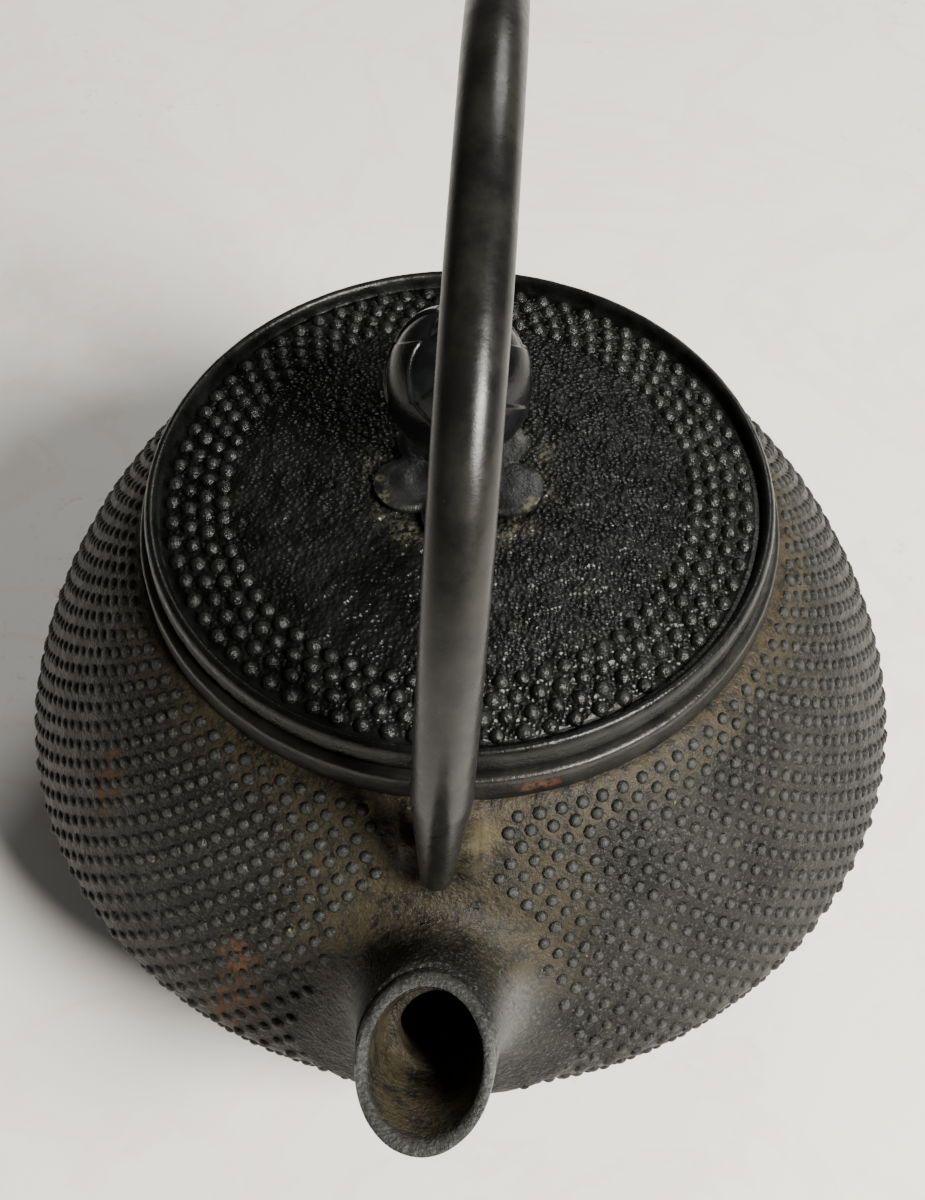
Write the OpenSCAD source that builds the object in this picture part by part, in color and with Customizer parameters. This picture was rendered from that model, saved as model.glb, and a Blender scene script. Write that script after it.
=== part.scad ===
// Cast iron teapot with a hobnail skin, a lift-off lid, a swinging bail and a tea strainer.
// Frame: +Z up, the pot stands on Z = 0, its axis is the Z axis and the spout points along -Y.
// All sizes in millimetres.

/* [Body casting] */
// Greatest radius of the body, at the belly
belly_r = 69.2; // [62:0.2:78]
// Height of the belly above the table
belly_z = 32; // [26:0.5:38]
// Height of the shoulder's upper edge, where the collar starts
shoulder_z = 72.4; // [66:0.2:84]
// Radius of the collar under the lid
collar_r = 46.2; // [42:0.2:50]
// Height of the collar
collar_h = 4.5; // [3.5:0.1:7]
// Roundness of the shoulder: 1 is a straight cone, 2 an ellipse
shoulder_power = 1.3; // [1.1:0.02:2]
// Roundness of the lower body, as above
flank_power = 1.44; // [1.1:0.02:2]
// Radius of the base
base_r = 40; // [34:0.5:46]
// Thickness of the iron wall
wall = 3.6; // [2.5:0.1:4.4]
// Thickness of the iron floor
floor_t = 4.5; // [3:0.1:6]

/* [Spout] */
// How far the middle of the spout's mouth stands out past the belly
mouth_out = 10.8; // [8:0.1:14]
// How far the middle of the spout's mouth lies below the collar
mouth_drop = 6.9; // [4.4:0.1:9.4]
// Angle of the spout above the horizontal
spout_angle = 42; // [38:1:46]
// Outward slope of the mouth's cut
mouth_slope = 6; // [0:1:12]
// Outer radius of the spout at its mouth
spout_r = 8.9; // [8.2:0.1:10]
// Radius inside the mouth
mouth_bore_r = 7.2; // [6:0.1:7.4]
// Radius of the throat behind the mouth
throat_r = 5.4; // [4:0.1:5.6]
// How far the throat sits to one side of the mouth
throat_shift = 1.4; // [0:0.1:1.5]
// Radius of the channel below the throat
channel_r = 7.8; // [6:0.1:8.2]

/* [Lugs] */
// Width of each lug on the shoulder
lug_w = 11; // [9:0.5:14]
// How far each lug's outer face stands out past the collar
lug_out = 7.1; // [6.3:0.1:9.8]
// How far the bail's pivot axis lies below the collar
pivot_drop = 3.1; // [1.4:0.1:4.4]
// Iron above the pivot axis in each lug
lug_over = 3; // [2.8:0.1:4]
// Radius of the bail's pivot pins
pin_r = 1.9; // [1.4:0.05:2.2]
// Radial clearance of the pins in the lugs
pin_gap = 0.08; // [0.03:0.01:0.1]
// Length of each pin inside its lug
pin_in = 4; // [3:0.1:4.4]

/* [Bail] */
// Height of the bail's crown above the pivot axis, to the rod's middle
bail_rise = 82.8; // [78:0.2:96]
// Radius of the round rod
rod_r = 4; // [3:0.1:4.6]
// Radius of the rod's tapered ends
rod_tip_r = 2.3; // [2:0.1:2.8]
// Length of the taper
taper_l = 19; // [14:0.5:24]
// Lean of the bail at rest, towards +X
bail_lean = 2.7; // [-8:0.1:8]
// Radius of the crown's arc
crown_r = 60; // [56:1:64]
// Radius of the two corner arcs
corner_r = 45; // [38:1:48]
// Radius of the two leg arcs
leg_r = 150; // [120:5:220]

/* [Lid] */
// How far the lid's edge stands in from the collar's side
lid_step = 1.2; // [0.2:0.1:3]
// Height of the bead at the lid's edge
bead_h = 4.8; // [4.2:0.1:5.6]
// Height of the lid's crown
dome_h = 7; // [5:0.1:10]
// Thickness of the lid's plate
lid_t = 3.2; // [2.4:0.1:4]
// Depth of the locating ring under the lid
skirt_h = 6; // [4:0.5:8]
// Thickness of the locating ring
skirt_t = 3; // [2:0.1:4]

/* [Knob] */
// Radius of the bud
bud_r = 10.2; // [8:0.1:12]
// Height of the bud
bud_h = 18.5; // [15:0.5:23]
// Height of the neck under the bud
neck_h = 9.8; // [6:0.2:12]
// Radius of the neck
neck_r = 4.2; // [3.6:0.1:5]
// Radius of the flower-shaped seat plate
seat_r = 12.3; // [10:0.1:14]
// Thickness of the seat plate
seat_t = 1.6; // [1:0.1:2.4]
// Radius of the stud
stud_r = 2.5; // [2:0.1:2.8]
// Radial clearance of the stud in the lid and the seat plate
stud_gap = 0.08; // [0.03:0.01:0.1]
// Thickness of the washer
washer_t = 1; // [0.6:0.1:1.4]
// Thickness of the nut
nut_t = 3.6; // [3:0.1:4.2]

/* [Strainer] */
// Radial clearance between the strainer's rim and the body
rim_gap = 0.4; // [0.2:0.1:0.8]
// Thickness of the strainer's rim
rim_t = 0.9; // [0.6:0.1:1.2]
// Width of the ledge that carries the strainer
ledge_w = 4.2; // [3:0.1:5]
// Clearance between the strainer's wall and the mouth of the body
strainer_gap = 1.6; // [1:0.1:3]
// Depth of the strainer below its rim
strainer_h = 38; // [30:0.5:44]
// Thickness of the strainer's sheet
sheet_t = 0.5; // [0.4:0.1:0.8]
// Radius of the strainer's holes
hole_r = 1.3; // [0.8:0.1:1.6]

/* [Hidden] */
$fn = 96;

// body
cut = 1;                                  // how far a cutter runs past the surface it cuts
rim_z = shoulder_z + collar_h;            // top of the collar, where the lid rests
rim_round = 0.6;                          // chamfer at the collar's upper edge
base_round = 1.6;                         // chamfer at the base's edge
groove_r = 31;                            // groove in the base, outer radius
groove_w = 3;                             // its width
groove_h = 0.8;                           // its depth
collar_wall = 3.4;                        // iron between the rim's recess and the outside
recess_r = collar_r - collar_wall;        // recess for the strainer's rim
ledge_z = rim_z - rim_t;                  // the ledge, so that rim and collar are flush
mouth_r = recess_r - ledge_w;             // opening of the body
shoulder_steps = 16;                      // points along the shoulder
flank_steps = 12;                         // points along the lower body

// spout, lengths measured from the mouth down its axis
mouth_reach = belly_r + mouth_out;        // from the pot's axis to the middle of the mouth
mouth_z = shoulder_z - mouth_drop;        // height of the middle of the mouth
flare_from = 12;                          // where the flare at the root starts
flare_l = 19;                             // length of the flare
flare_w = 11;                             // growth in radius over that length
flare_steps = 10;                         // points along the flare
spout_growth = 0.06;                      // slow taper, radius per length
stub_l = 46;                              // length of the solid before it is hollowed
overrun = 16;                             // spout above its mouth, before it is cut
root_proud = 0.6;                         // how far the flare stands past the belly
root_over = 9;                            // height above the belly where that limit ends
funnel_l = 7.5;                           // depth of the funnel behind the mouth
throat_l = 2.5;                           // length of the narrow throat
widening_l = 7;                           // from the throat to the full channel
channel_l = 42;                           // end of the channel, in the hollow of the body

// bail
lug_face_y = collar_r + lug_out;          // from the pot's axis to a lug's outer face
pivot_z = shoulder_z - pivot_drop;        // height of the pivot axis
face_gap = 0.4;                           // between a lug's face and the flat of the bail
bail_y = lug_face_y + 1.5;                // middle of the legs at the pivot axis
flat_y = lug_face_y + face_gap;           // flat on the inside of each leg's end
flat_h = norm([lug_w / 2, lug_over]) + face_gap;  // the flats clear the lug's corners
pin_end_gap = 0.5;                        // between a pin's end and the bottom of its hole
tip_round = 0.9;                          // chamfer at the tips
weld = 0.06;                              // how far a joint stands proud of the rod
leg_c = [bail_y - leg_r, taper_l];        // centre of a leg's arc, seen along X
crown_c = [0, bail_rise - crown_r];       // centre of the crown's arc
c_gap = crown_c - leg_c;
c_dist = norm(c_gap);
c_unit = c_gap / c_dist;
leg_in = leg_r - corner_r;                // the corner arc is tangent inside both others
crown_in = crown_r - corner_r;
along = (c_dist * c_dist + leg_in * leg_in - crown_in * crown_in) / (2 * c_dist);
aside = sqrt(leg_in * leg_in - along * along);
corner_c = leg_c + c_unit * along + [-c_unit[1], c_unit[0]] * aside;
leg_end_a = atan2(corner_c[1] - leg_c[1], corner_c[0] - leg_c[0]);
corner_end_a = atan2(corner_c[1] - crown_c[1], corner_c[0] - crown_c[0]);

// lid, heights above the collar's top
rim_r = recess_r - rim_gap;               // outer radius of the strainer's rim
wall_r = mouth_r - strainer_gap;          // outer radius of the strainer's wall
skirt_gap = 0.8;                          // between the lid's ring and the strainer
skirt_r = wall_r - sheet_t - skirt_gap;   // outer radius of the lid's ring
skirt_in = skirt_r - skirt_t;             // inner radius of the lid's ring
lid_r = collar_r - lid_step;              // outer radius of the lid
bead_w = 1.9;                             // width of the bead
bead_drop = 1.4;                          // from the bead's crest to the plain side
groove_in = 2.7;                          // bottom of the groove inside the bead
edge_in = 3;                              // outer height of the domed plate
plate_r = lid_r - bead_w - 1.3;           // outer radius of the domed plate
boss_r = 13;                              // flat at the crown that carries the seat plate
dome_power = 1.8;                         // roundness of the dome
dome_steps = 12;                          // points along the dome
lip_w = 1.4;                              // undercut at the edge that shows as a gap line
lip_h = 0.4;                              // its height

// knob
seat_z = rim_z + dome_h;                  // underside of the seat plate
neck_z = seat_z + seat_t;                 // underside of the neck
bud_z = neck_z + neck_h;                  // underside of the bud
bud_mid = 0.45 * bud_h;                   // height of the bud's greatest radius
bud_power = 0.85;                         // roundness of the bud
bud_steps = 9;                            // points along each half of the bud
pit_r = 2.2;                              // pit in the bud's top
pit_h = 1.6;                              // its depth
petals = 5;                               // lobes of the seat plate
lobe_r = 4.9;                             // their radius
seat_core_r = 8;                          // round middle of the seat plate
plate_z = seat_z - lid_t;                 // underside of the lid's plate at its middle
stud_in = 7;                              // stud inside the bud
stud_over = 1.2;                          // stud past the nut
stud_z = plate_z - washer_t - nut_t - stud_over;
washer_r = 6.5;                           // radius of the washer
nut_r = 4.8;                              // corner radius of the hexagonal nut

// strainer
sleeve_h = 5;                             // sleeve under the rim
band_h = 4;                               // band round the foot of the wall
strainer_z = ledge_z - strainer_h;        // underside of the strainer
hole_rows = 4;                            // rows of holes in the wall
row_holes = 20;                           // holes in each row
floor_rings = 4;                          // rings of holes in the floor

// points from the top of a shoulder, (0, h), down to its belly, (w, 0)
function shoulder(w, h) = [for (i = [0 : shoulder_steps]) let (a = 90 * i / shoulder_steps)
    [w * pow(sin(a), 2 / shoulder_power), h * pow(cos(a), 2 / shoulder_power)]];

// points from just under the belly down to the base, (0, h)
function flank(w, h) = [for (i = [1 : flank_steps]) let (a = 90 * i / flank_steps)
    [w * pow(cos(a), 2 / flank_power), h * pow(sin(a), 2 / flank_power)]];

// outline of a half section of the pot, between a top radius and a base radius
function pot_section(top_r, top_z, side_r, foot_r, foot_z) = concat(
    [for (p = shoulder(side_r - top_r, top_z - belly_z)) [top_r + p[0], belly_z + p[1]]],
    [for (p = flank(side_r - foot_r, belly_z - foot_z)) [foot_r + p[0], belly_z - p[1]]]);

// outer radius of the spout at a distance below its mouth
function spout_at(d) = spout_r + spout_growth * d
    + flare_w * pow(max(0, d - flare_from) / flare_l, 3);

// height of the lid's domed top at radius r
function dome_at(r) = edge_in + (dome_h - edge_in)
    * (1 - pow(max(0, r - boss_r) / (plate_r - boss_r), dome_power));

// radius of one half of the bud between an end radius and its middle
function bud_at(end_r, a) = end_r + (bud_r - end_r) * pow(cos(a), bud_power);

// places its children on the spout's axis, +Z out of the mouth
module on_spout() {
    translate([0, -mouth_reach, mouth_z]) rotate([90 - spout_angle, 0, 0]) children();
}

module spout_solid() {
    flare_end = flare_from + flare_l;
    difference() {
        on_spout() rotate_extrude() polygon(concat(
            [[0, overrun], [spout_at(-overrun), overrun]],
            [for (i = [0 : flare_steps]) let (d = flare_from + flare_l * i / flare_steps)
                [spout_at(d), -d]],
            [[0, -stub_l]]));
        translate([0, -mouth_reach, mouth_z]) rotate([mouth_slope, 0, 0])
            translate([-belly_r, -belly_r, 0]) cube([2 * belly_r, 2 * belly_r, belly_r]);
        // the flare's underside runs out at the belly
        difference() {
            translate([0, 0, -cut]) cylinder(r = 2 * belly_r, h = belly_z + root_over + cut);
            translate([0, 0, -2 * cut])
                cylinder(r = belly_r + root_proud, h = belly_z + root_over + 3 * cut);
        }
    }
}

module spout_channel() {
    on_spout() {
        translate([0, 0, -funnel_l])
            cylinder(r1 = throat_r + 0.2, r2 = mouth_bore_r, h = funnel_l + 0.01);
        cylinder(r = mouth_bore_r, h = overrun);
        translate([throat_shift, 0, -funnel_l - throat_l - 0.01])
            cylinder(r = throat_r, h = throat_l + 0.02);
        translate([throat_shift, 0, -funnel_l - throat_l - widening_l])
            cylinder(r1 = channel_r, r2 = throat_r, h = widening_l);
        translate([throat_shift, 0, -channel_l])
            cylinder(r = channel_r, h = channel_l - funnel_l - throat_l - widening_l + 0.01);
    }
}

module lug() {
    top_z = pivot_z + lug_over;
    translate([-lug_w / 2, -lug_face_y, shoulder_z - belly_z])
        cube([lug_w, lug_face_y - mouth_r - wall, top_z - shoulder_z + belly_z]);
}

module lug_hole() {
    depth = pin_in + pin_end_gap;
    translate([0, -lug_face_y + depth, pivot_z]) rotate([90, 0, 0])
        cylinder(r = pin_r + pin_gap, h = depth + cut);
}

module teapot_body() {
    color([0.16, 0.155, 0.145]) difference() {
        union() {
            rotate_extrude() polygon(concat(
                [[0, rim_z], [collar_r - rim_round, rim_z], [collar_r, rim_z - rim_round]],
                pot_section(collar_r, shoulder_z, belly_r, base_r, base_round),
                [[base_r - base_round, 0], [0, 0]]));
            spout_solid();
            for (side = [0, 1]) mirror([0, side, 0]) lug();
        }
        rotate_extrude() polygon(concat(
            [[0, rim_z + cut], [mouth_r, rim_z + cut]],
            pot_section(mouth_r, shoulder_z - wall, belly_r - wall, base_r - wall, floor_t),
            [[0, floor_t]]));
        translate([0, 0, ledge_z]) cylinder(r = recess_r, h = rim_t + cut);
        spout_channel();
        for (side = [0, 1]) mirror([0, side, 0]) lug_hole();
        translate([0, 0, -cut]) difference() {
            cylinder(r = groove_r, h = groove_h + cut);
            cylinder(r = groove_r - groove_w, h = groove_h + cut);
        }
    }
}

// a point on an arc in the Y-Z plane
function on_arc(centre, radius, a) = centre + radius * [cos(a), sin(a)];

// joins two stretches of the rod, a hair proud so that they fuse
module rod_joint(point) {
    translate([0, point[0], point[1]]) sphere(r = rod_r + weld);
}

// a bent stretch of the rod, round a centre in the Y-Z plane
module rod_arc(centre, radius, from_a, to_a) {
    translate([0, centre[0], centre[1]]) rotate([90, 0, 90]) rotate([0, 0, from_a])
        rotate_extrude(angle = to_a - from_a) translate([radius, 0]) circle(r = rod_r);
}

module bail_leg() {
    tip_z = -rod_tip_r;
    difference() {
        translate([0, bail_y, 0]) union() {
            translate([0, 0, tip_z])
                cylinder(r1 = rod_tip_r - tip_round, r2 = rod_tip_r, h = tip_round);
            translate([0, 0, tip_z + tip_round])
                cylinder(r1 = rod_tip_r, r2 = rod_r, h = taper_l - tip_z - tip_round);
        }
        translate([-2 * rod_r, flat_y - 2 * rod_r, -2 * rod_r])
            cube([4 * rod_r, 2 * rod_r, flat_h + 2 * rod_r]);
    }
    rod_joint([bail_y, taper_l]);
    rod_arc(leg_c, leg_r, 0, leg_end_a);
    rod_joint(on_arc(leg_c, leg_r, leg_end_a));
    rod_arc(corner_c, corner_r, leg_end_a, corner_end_a);
    rod_joint(on_arc(corner_c, corner_r, corner_end_a));
    translate([0, bail_y, 0]) rotate([90, 0, 0])
        cylinder(r = pin_r, h = bail_y - lug_face_y + pin_in);
}

module bail() {
    color([0.09, 0.09, 0.095]) translate([0, 0, pivot_z]) rotate([0, bail_lean, 0]) {
        for (side = [0, 1]) mirror([0, side, 0]) bail_leg();
        rod_arc(crown_c, crown_r, corner_end_a, 180 - corner_end_a);
    }
}

module lid() {
    bead_c = lid_r - bead_w / 2;
    bead_r = bead_w / 2;
    color([0.06, 0.07, 0.08]) difference() {
        translate([0, 0, rim_z]) rotate_extrude() polygon(concat(
            [[0, dome_h]],
            [for (i = [0 : dome_steps]) let (r = boss_r + (plate_r - boss_r) * i / dome_steps)
                [r, dome_at(r)]],
            [[plate_r + 0.4, groove_in], [lid_r - bead_w - 0.2, groove_in]],
            [for (a = [180 : -30 : 0])
                [bead_c + bead_r * cos(a), bead_h - bead_drop + bead_drop * sin(a)]],
            [[lid_r, 2 * lip_h], [lid_r - lip_h, lip_h], [lid_r - lip_w, lip_h],
             [lid_r - lip_w, 0], [skirt_r, 0], [skirt_r, -skirt_h], [skirt_in, -skirt_h],
             [skirt_in, dome_at(skirt_in) - lid_t], [boss_r, dome_h - lid_t],
             [0, dome_h - lid_t]]));
        translate([0, 0, plate_z - cut])
            cylinder(r = stud_r + stud_gap, h = lid_t + 2 * cut);
    }
}

module knob_seat() {
    color([0.05, 0.055, 0.06]) difference() {
        translate([0, 0, seat_z]) union() {
            cylinder(r = seat_core_r, h = seat_t);
            for (i = [0 : petals - 1]) rotate([0, 0, -90 + 360 * i / petals])
                translate([seat_r - lobe_r, 0, 0]) cylinder(r = lobe_r, h = seat_t);
        }
        translate([0, 0, seat_z - cut]) cylinder(r = stud_r + stud_gap, h = seat_t + 2 * cut);
    }
}

module lid_knob() {
    color([0.03, 0.03, 0.035]) difference() {
        rotate_extrude() polygon(concat(
            [[0, neck_z], [neck_r, neck_z]],
            [for (i = [0 : bud_steps]) let (a = -90 + 90 * i / bud_steps)
                [bud_at(neck_r, a), bud_z + bud_mid * (1 + sin(a))]],
            [for (i = [1 : bud_steps]) let (a = 90 * i / bud_steps)
                [bud_at(pit_r, a), bud_z + bud_mid + (bud_h - bud_mid) * sin(a)]],
            [[0, bud_z + bud_h - pit_h]]));
        translate([0, 0, neck_z - cut]) cylinder(r = stud_r, h = neck_h + stud_in + cut);
    }
}

module knob_stud() {
    color([0.45, 0.45, 0.44]) translate([0, 0, stud_z])
        cylinder(r = stud_r, h = bud_z + stud_in - stud_z);
}

module knob_washer() {
    color([0.55, 0.55, 0.54]) translate([0, 0, plate_z - washer_t]) difference() {
        cylinder(r = washer_r, h = washer_t);
        translate([0, 0, -cut]) cylinder(r = stud_r, h = washer_t + 2 * cut);
    }
}

module knob_nut() {
    color([0.5, 0.5, 0.49]) translate([0, 0, plate_z - washer_t - nut_t]) difference() {
        cylinder(r = nut_r, h = nut_t, $fn = 6);
        translate([0, 0, -cut]) cylinder(r = stud_r, h = nut_t + 2 * cut);
    }
}

module strainer_rim() {
    color([0.62, 0.62, 0.61]) difference() {
        union() {
            translate([0, 0, ledge_z]) cylinder(r = rim_r, h = rim_t);
            translate([0, 0, ledge_z - sleeve_h]) cylinder(r = wall_r + sheet_t, h = sleeve_h);
        }
        translate([0, 0, ledge_z - sleeve_h - cut]) cylinder(r = wall_r, h = sleeve_h + cut);
        translate([0, 0, ledge_z - cut]) cylinder(r = wall_r - sheet_t, h = rim_t + 2 * cut);
    }
}

module strainer_wall() {
    first = strainer_z + band_h;
    pitch = (strainer_h - sleeve_h - band_h) / hole_rows;
    color([0.6, 0.6, 0.59]) difference() {
        translate([0, 0, strainer_z]) cylinder(r = wall_r, h = strainer_h);
        translate([0, 0, strainer_z - cut])
            cylinder(r = wall_r - sheet_t, h = strainer_h + 2 * cut);
        for (row = [0 : hole_rows - 1], i = [0 : row_holes - 1])
            rotate([0, 0, 360 * (i + 0.5 * (row % 2)) / row_holes])
                translate([wall_r - 2 * sheet_t, 0, first + pitch * (row + 0.5)])
                    rotate([0, 90, 0]) cylinder(r = hole_r, h = 3 * sheet_t);
    }
}

module strainer_floor() {
    step = (wall_r - sheet_t - 2 * hole_r) / (floor_rings + 0.5);
    color([0.6, 0.6, 0.59]) translate([0, 0, strainer_z]) difference() {
        cylinder(r = wall_r - sheet_t, h = sheet_t);
        translate([0, 0, -cut]) cylinder(r = hole_r, h = sheet_t + 2 * cut);
        for (ring = [1 : floor_rings], i = [0 : 6 * ring - 1])
            rotate([0, 0, 60 * i / ring]) translate([ring * step, 0, -cut])
                cylinder(r = hole_r, h = sheet_t + 2 * cut);
    }
}

module strainer_band() {
    color([0.62, 0.62, 0.61]) translate([0, 0, strainer_z]) difference() {
        cylinder(r = wall_r + sheet_t, h = band_h - hole_r);
        translate([0, 0, -cut]) cylinder(r = wall_r, h = band_h + 2 * cut);
    }
}

teapot_body();
bail();
lid();
knob_seat();
lid_knob();
knob_stud();
knob_washer();
knob_nut();
strainer_rim();
strainer_wall();
strainer_floor();
strainer_band();
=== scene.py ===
"""Looks of the cast iron teapot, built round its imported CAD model.

The pot's skin, spout and lugs are one casting, taken from a solid described by distances.
The collar, lid, bail, knob and strainer are turned, swept or lofted. Hobnails and perforations
are set out by a Geometry Nodes tree. Lengths are millimetres until a mesh is made.
"""
import logging
import math
from dataclasses import dataclass, field
from enum import Enum
from typing import Callable, Dict, List, Optional, Sequence, Tuple

import bpy
import numpy as np
from mathutils import Matrix, Vector


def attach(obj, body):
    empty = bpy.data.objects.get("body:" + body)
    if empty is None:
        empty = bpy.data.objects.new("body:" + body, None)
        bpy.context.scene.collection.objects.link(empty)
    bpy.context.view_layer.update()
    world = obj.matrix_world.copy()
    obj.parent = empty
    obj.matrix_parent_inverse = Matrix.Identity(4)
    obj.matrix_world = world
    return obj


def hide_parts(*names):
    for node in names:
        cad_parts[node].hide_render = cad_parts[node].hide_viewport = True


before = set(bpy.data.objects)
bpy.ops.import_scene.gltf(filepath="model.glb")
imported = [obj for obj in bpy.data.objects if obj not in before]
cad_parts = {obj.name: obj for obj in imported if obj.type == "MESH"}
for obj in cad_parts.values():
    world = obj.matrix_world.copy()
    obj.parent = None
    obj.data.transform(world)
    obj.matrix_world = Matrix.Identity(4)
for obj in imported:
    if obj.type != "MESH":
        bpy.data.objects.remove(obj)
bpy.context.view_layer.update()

LOG = logging.getLogger("teapot")
MM = 0.001
Colour = Tuple[float, float, float]
Array = np.ndarray


class Body(Enum):
    """The bodies of the CAD model that pieces ride on."""

    POT = "pot"
    BAIL = "bail"
    STRAINER = "strainer"
    LID = "lid"
    KNOB = "knob"


class Slot(Enum):
    """The record's material slots."""

    BODY = "cast_iron_body"
    LID = "cast_iron_lid"
    BAIL = "bail_metal"
    KNOB = "knob_lacquer"
    STEEL = "steel_fixings"
    STRAINER = "strainer_steel"


# ---------------------------------------------------------------- numbers


def ease(low: float, high: float, value: Array) -> Array:
    """Rises smoothly from 0 to 1.

    Args:
        low: where it is 0.
        high: where it is 1; it may be below low.
        value: the values to place between them.

    Returns:
        The eased shares.
    """
    t = np.clip((value - low) / (high - low), 0.0, 1.0)
    return t * t * (3.0 - 2.0 * t)


def blend_low(a: Array, b: Array, width: float) -> Array:
    """The lower of two distances, rounded where they are close.

    Args:
        a: first distances.
        b: second distances.
        width: the reach of the rounding.

    Returns:
        The blended distances.
    """
    h = np.clip(0.5 + 0.5 * (b - a) / width, 0.0, 1.0)
    return b * (1.0 - h) + a * h - width * h * (1.0 - h)


class Grain:
    """Repeatable lumps in space: random values on a lattice, smoothly joined."""

    def __init__(self, seed: int) -> None:
        """Draws the lattice's values.

        Args:
            seed: fixes them.
        """
        self.values = np.random.default_rng(seed).uniform(-1.0, 1.0, 8192)

    def at(self, points: Array, size: float, octaves: int = 1, gain: float = 0.5) -> Array:
        """Samples the lumps.

        Args:
            points: places, in millimetres.
            size: width of the largest lumps.
            octaves: how many ever finer layers are added.
            gain: strength of each finer layer.

        Returns:
            Values from about -1 to 1.
        """
        total = np.zeros(len(points))
        weight, scale = 0.0, 1.0
        for octave in range(octaves):
            total += scale * self._layer(points / size + 17.3 * octave)
            weight += scale
            scale *= gain
            size *= 0.5
        return total / weight

    def _layer(self, q: Array) -> Array:
        cell = np.floor(q).astype(np.int64)
        t = q - cell
        t = t * t * (3.0 - 2.0 * t)
        total = np.zeros(len(q))
        for corner in range(8):
            step = np.array([corner & 1, corner >> 1 & 1, corner >> 2 & 1])
            n = cell + step
            key = (n[:, 0] * 73856093) ^ (n[:, 1] * 19349663) ^ (n[:, 2] * 83492791)
            share = np.prod(np.where(step, t, 1.0 - t), axis=1)
            total += share * self.values[key & 8191]
        return total


GRAIN = Grain(7)


# ---------------------------------------------------------------- meshes


@dataclass
class Shell:
    """Points in millimetres, the faces between them, and named shares at the points."""

    points: Array
    quads: Array
    tris: Array = field(default_factory=lambda: np.zeros((0, 3), int))
    masks: Dict[str, Array] = field(default_factory=dict)

    def normals(self) -> Array:
        """Unit normals at the points.

        Returns:
            One for each point.
        """
        p = self.points
        total = np.zeros_like(p)
        for faces in (self.quads, self.tris):
            if len(faces) == 0:
                continue
            last = faces[:, -1]
            across = np.cross(p[faces[:, 2]] - p[faces[:, 0]], p[last] - p[faces[:, 1]])
            if faces.shape[1] == 3:
                across = np.cross(p[faces[:, 1]] - p[faces[:, 0]], p[last] - p[faces[:, 0]])
            for corner in range(faces.shape[1]):
                for axis in range(3):
                    total[:, axis] += np.bincount(
                        faces[:, corner], across[:, axis], minlength=len(p)
                    )
        return total / np.maximum(np.linalg.norm(total, axis=1, keepdims=True), 1e-12)

    def push(self, amount: Array) -> "Shell":
        """Moves the points along their normals.

        Args:
            amount: how far, one for each point.

        Returns:
            The same shell.
        """
        self.points = self.points + self.normals() * np.asarray(amount)[:, None]
        return self

    def moved(self, matrix: Array, offset: Sequence[float] = (0.0, 0.0, 0.0)) -> "Shell":
        """Turns, then shifts a copy.

        Args:
            matrix: 3 by 3 rotation.
            offset: shift afterwards.

        Returns:
            The new shell.
        """
        points = self.points @ np.asarray(matrix).T + np.asarray(offset)
        return Shell(points, self.quads, self.tris, dict(self.masks))

    def kept(self, wanted: Array) -> "Shell":
        """Drops the faces that touch unwanted points.

        Args:
            wanted: true for each point to keep.

        Returns:
            The smaller shell.
        """
        quads = self.quads[wanted[self.quads].all(axis=1)]
        tris = self.tris[wanted[self.tris].all(axis=1)]
        used = np.zeros(len(self.points), bool)
        used[quads.ravel()] = True
        used[tris.ravel()] = True
        index = np.cumsum(used) - 1
        masks = {name: values[used] for name, values in self.masks.items()}
        return Shell(self.points[used], index[quads], index[tris], masks)

    def build(self, name: str, material: bpy.types.Material, crease: float = 35.0):
        """Makes the object.

        Args:
            name: its name.
            material: its finish.
            crease: faces that meet at more than this, in degrees, keep a sharp edge.

        Returns:
            The new object, at the origin.
        """
        mesh = bpy.data.meshes.new(name)
        mesh.vertices.add(len(self.points))
        mesh.vertices.foreach_set("co", (self.points * MM).astype(np.float32).ravel())
        loops = np.concatenate([self.quads.ravel(), self.tris.ravel()]).astype(np.int32)
        sizes = np.array([4] * len(self.quads) + [3] * len(self.tris), np.int32)
        mesh.loops.add(len(loops))
        mesh.loops.foreach_set("vertex_index", loops)
        mesh.polygons.add(len(sizes))
        starts = np.concatenate([[0], np.cumsum(sizes)[:-1]]).astype(np.int32)
        mesh.polygons.foreach_set("loop_start", starts)
        for mask, values in self.masks.items():
            layer = mesh.attributes.new(mask, "FLOAT", "POINT")
            layer.data.foreach_set("value", np.asarray(values, np.float32))
        mesh.update(calc_edges=True)
        mesh.validate()
        mesh.polygons.foreach_set("use_smooth", np.ones(len(mesh.polygons), bool))
        mesh.set_sharp_from_angle(angle=math.radians(crease))
        mesh.materials.append(material)
        thing = bpy.data.objects.new(name, mesh)
        bpy.context.scene.collection.objects.link(thing)
        return thing


def together(shells: Sequence[Shell]) -> Shell:
    """Puts shells into one.

    Args:
        shells: the shells.

    Returns:
        One shell with all their faces; a mask that one lacks is 0 on it.
    """
    names = sorted({name for shell in shells for name in shell.masks})
    starts = np.cumsum([0] + [len(shell.points) for shell in shells])
    return Shell(
        np.concatenate([shell.points for shell in shells]),
        np.concatenate([shell.quads + start for shell, start in zip(shells, starts)]),
        np.concatenate([shell.tris + start for shell, start in zip(shells, starts)]),
        {
            name: np.concatenate(
                [shell.masks.get(name, np.zeros(len(shell.points))) for shell in shells]
            )
            for name in names
        },
    )


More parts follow.
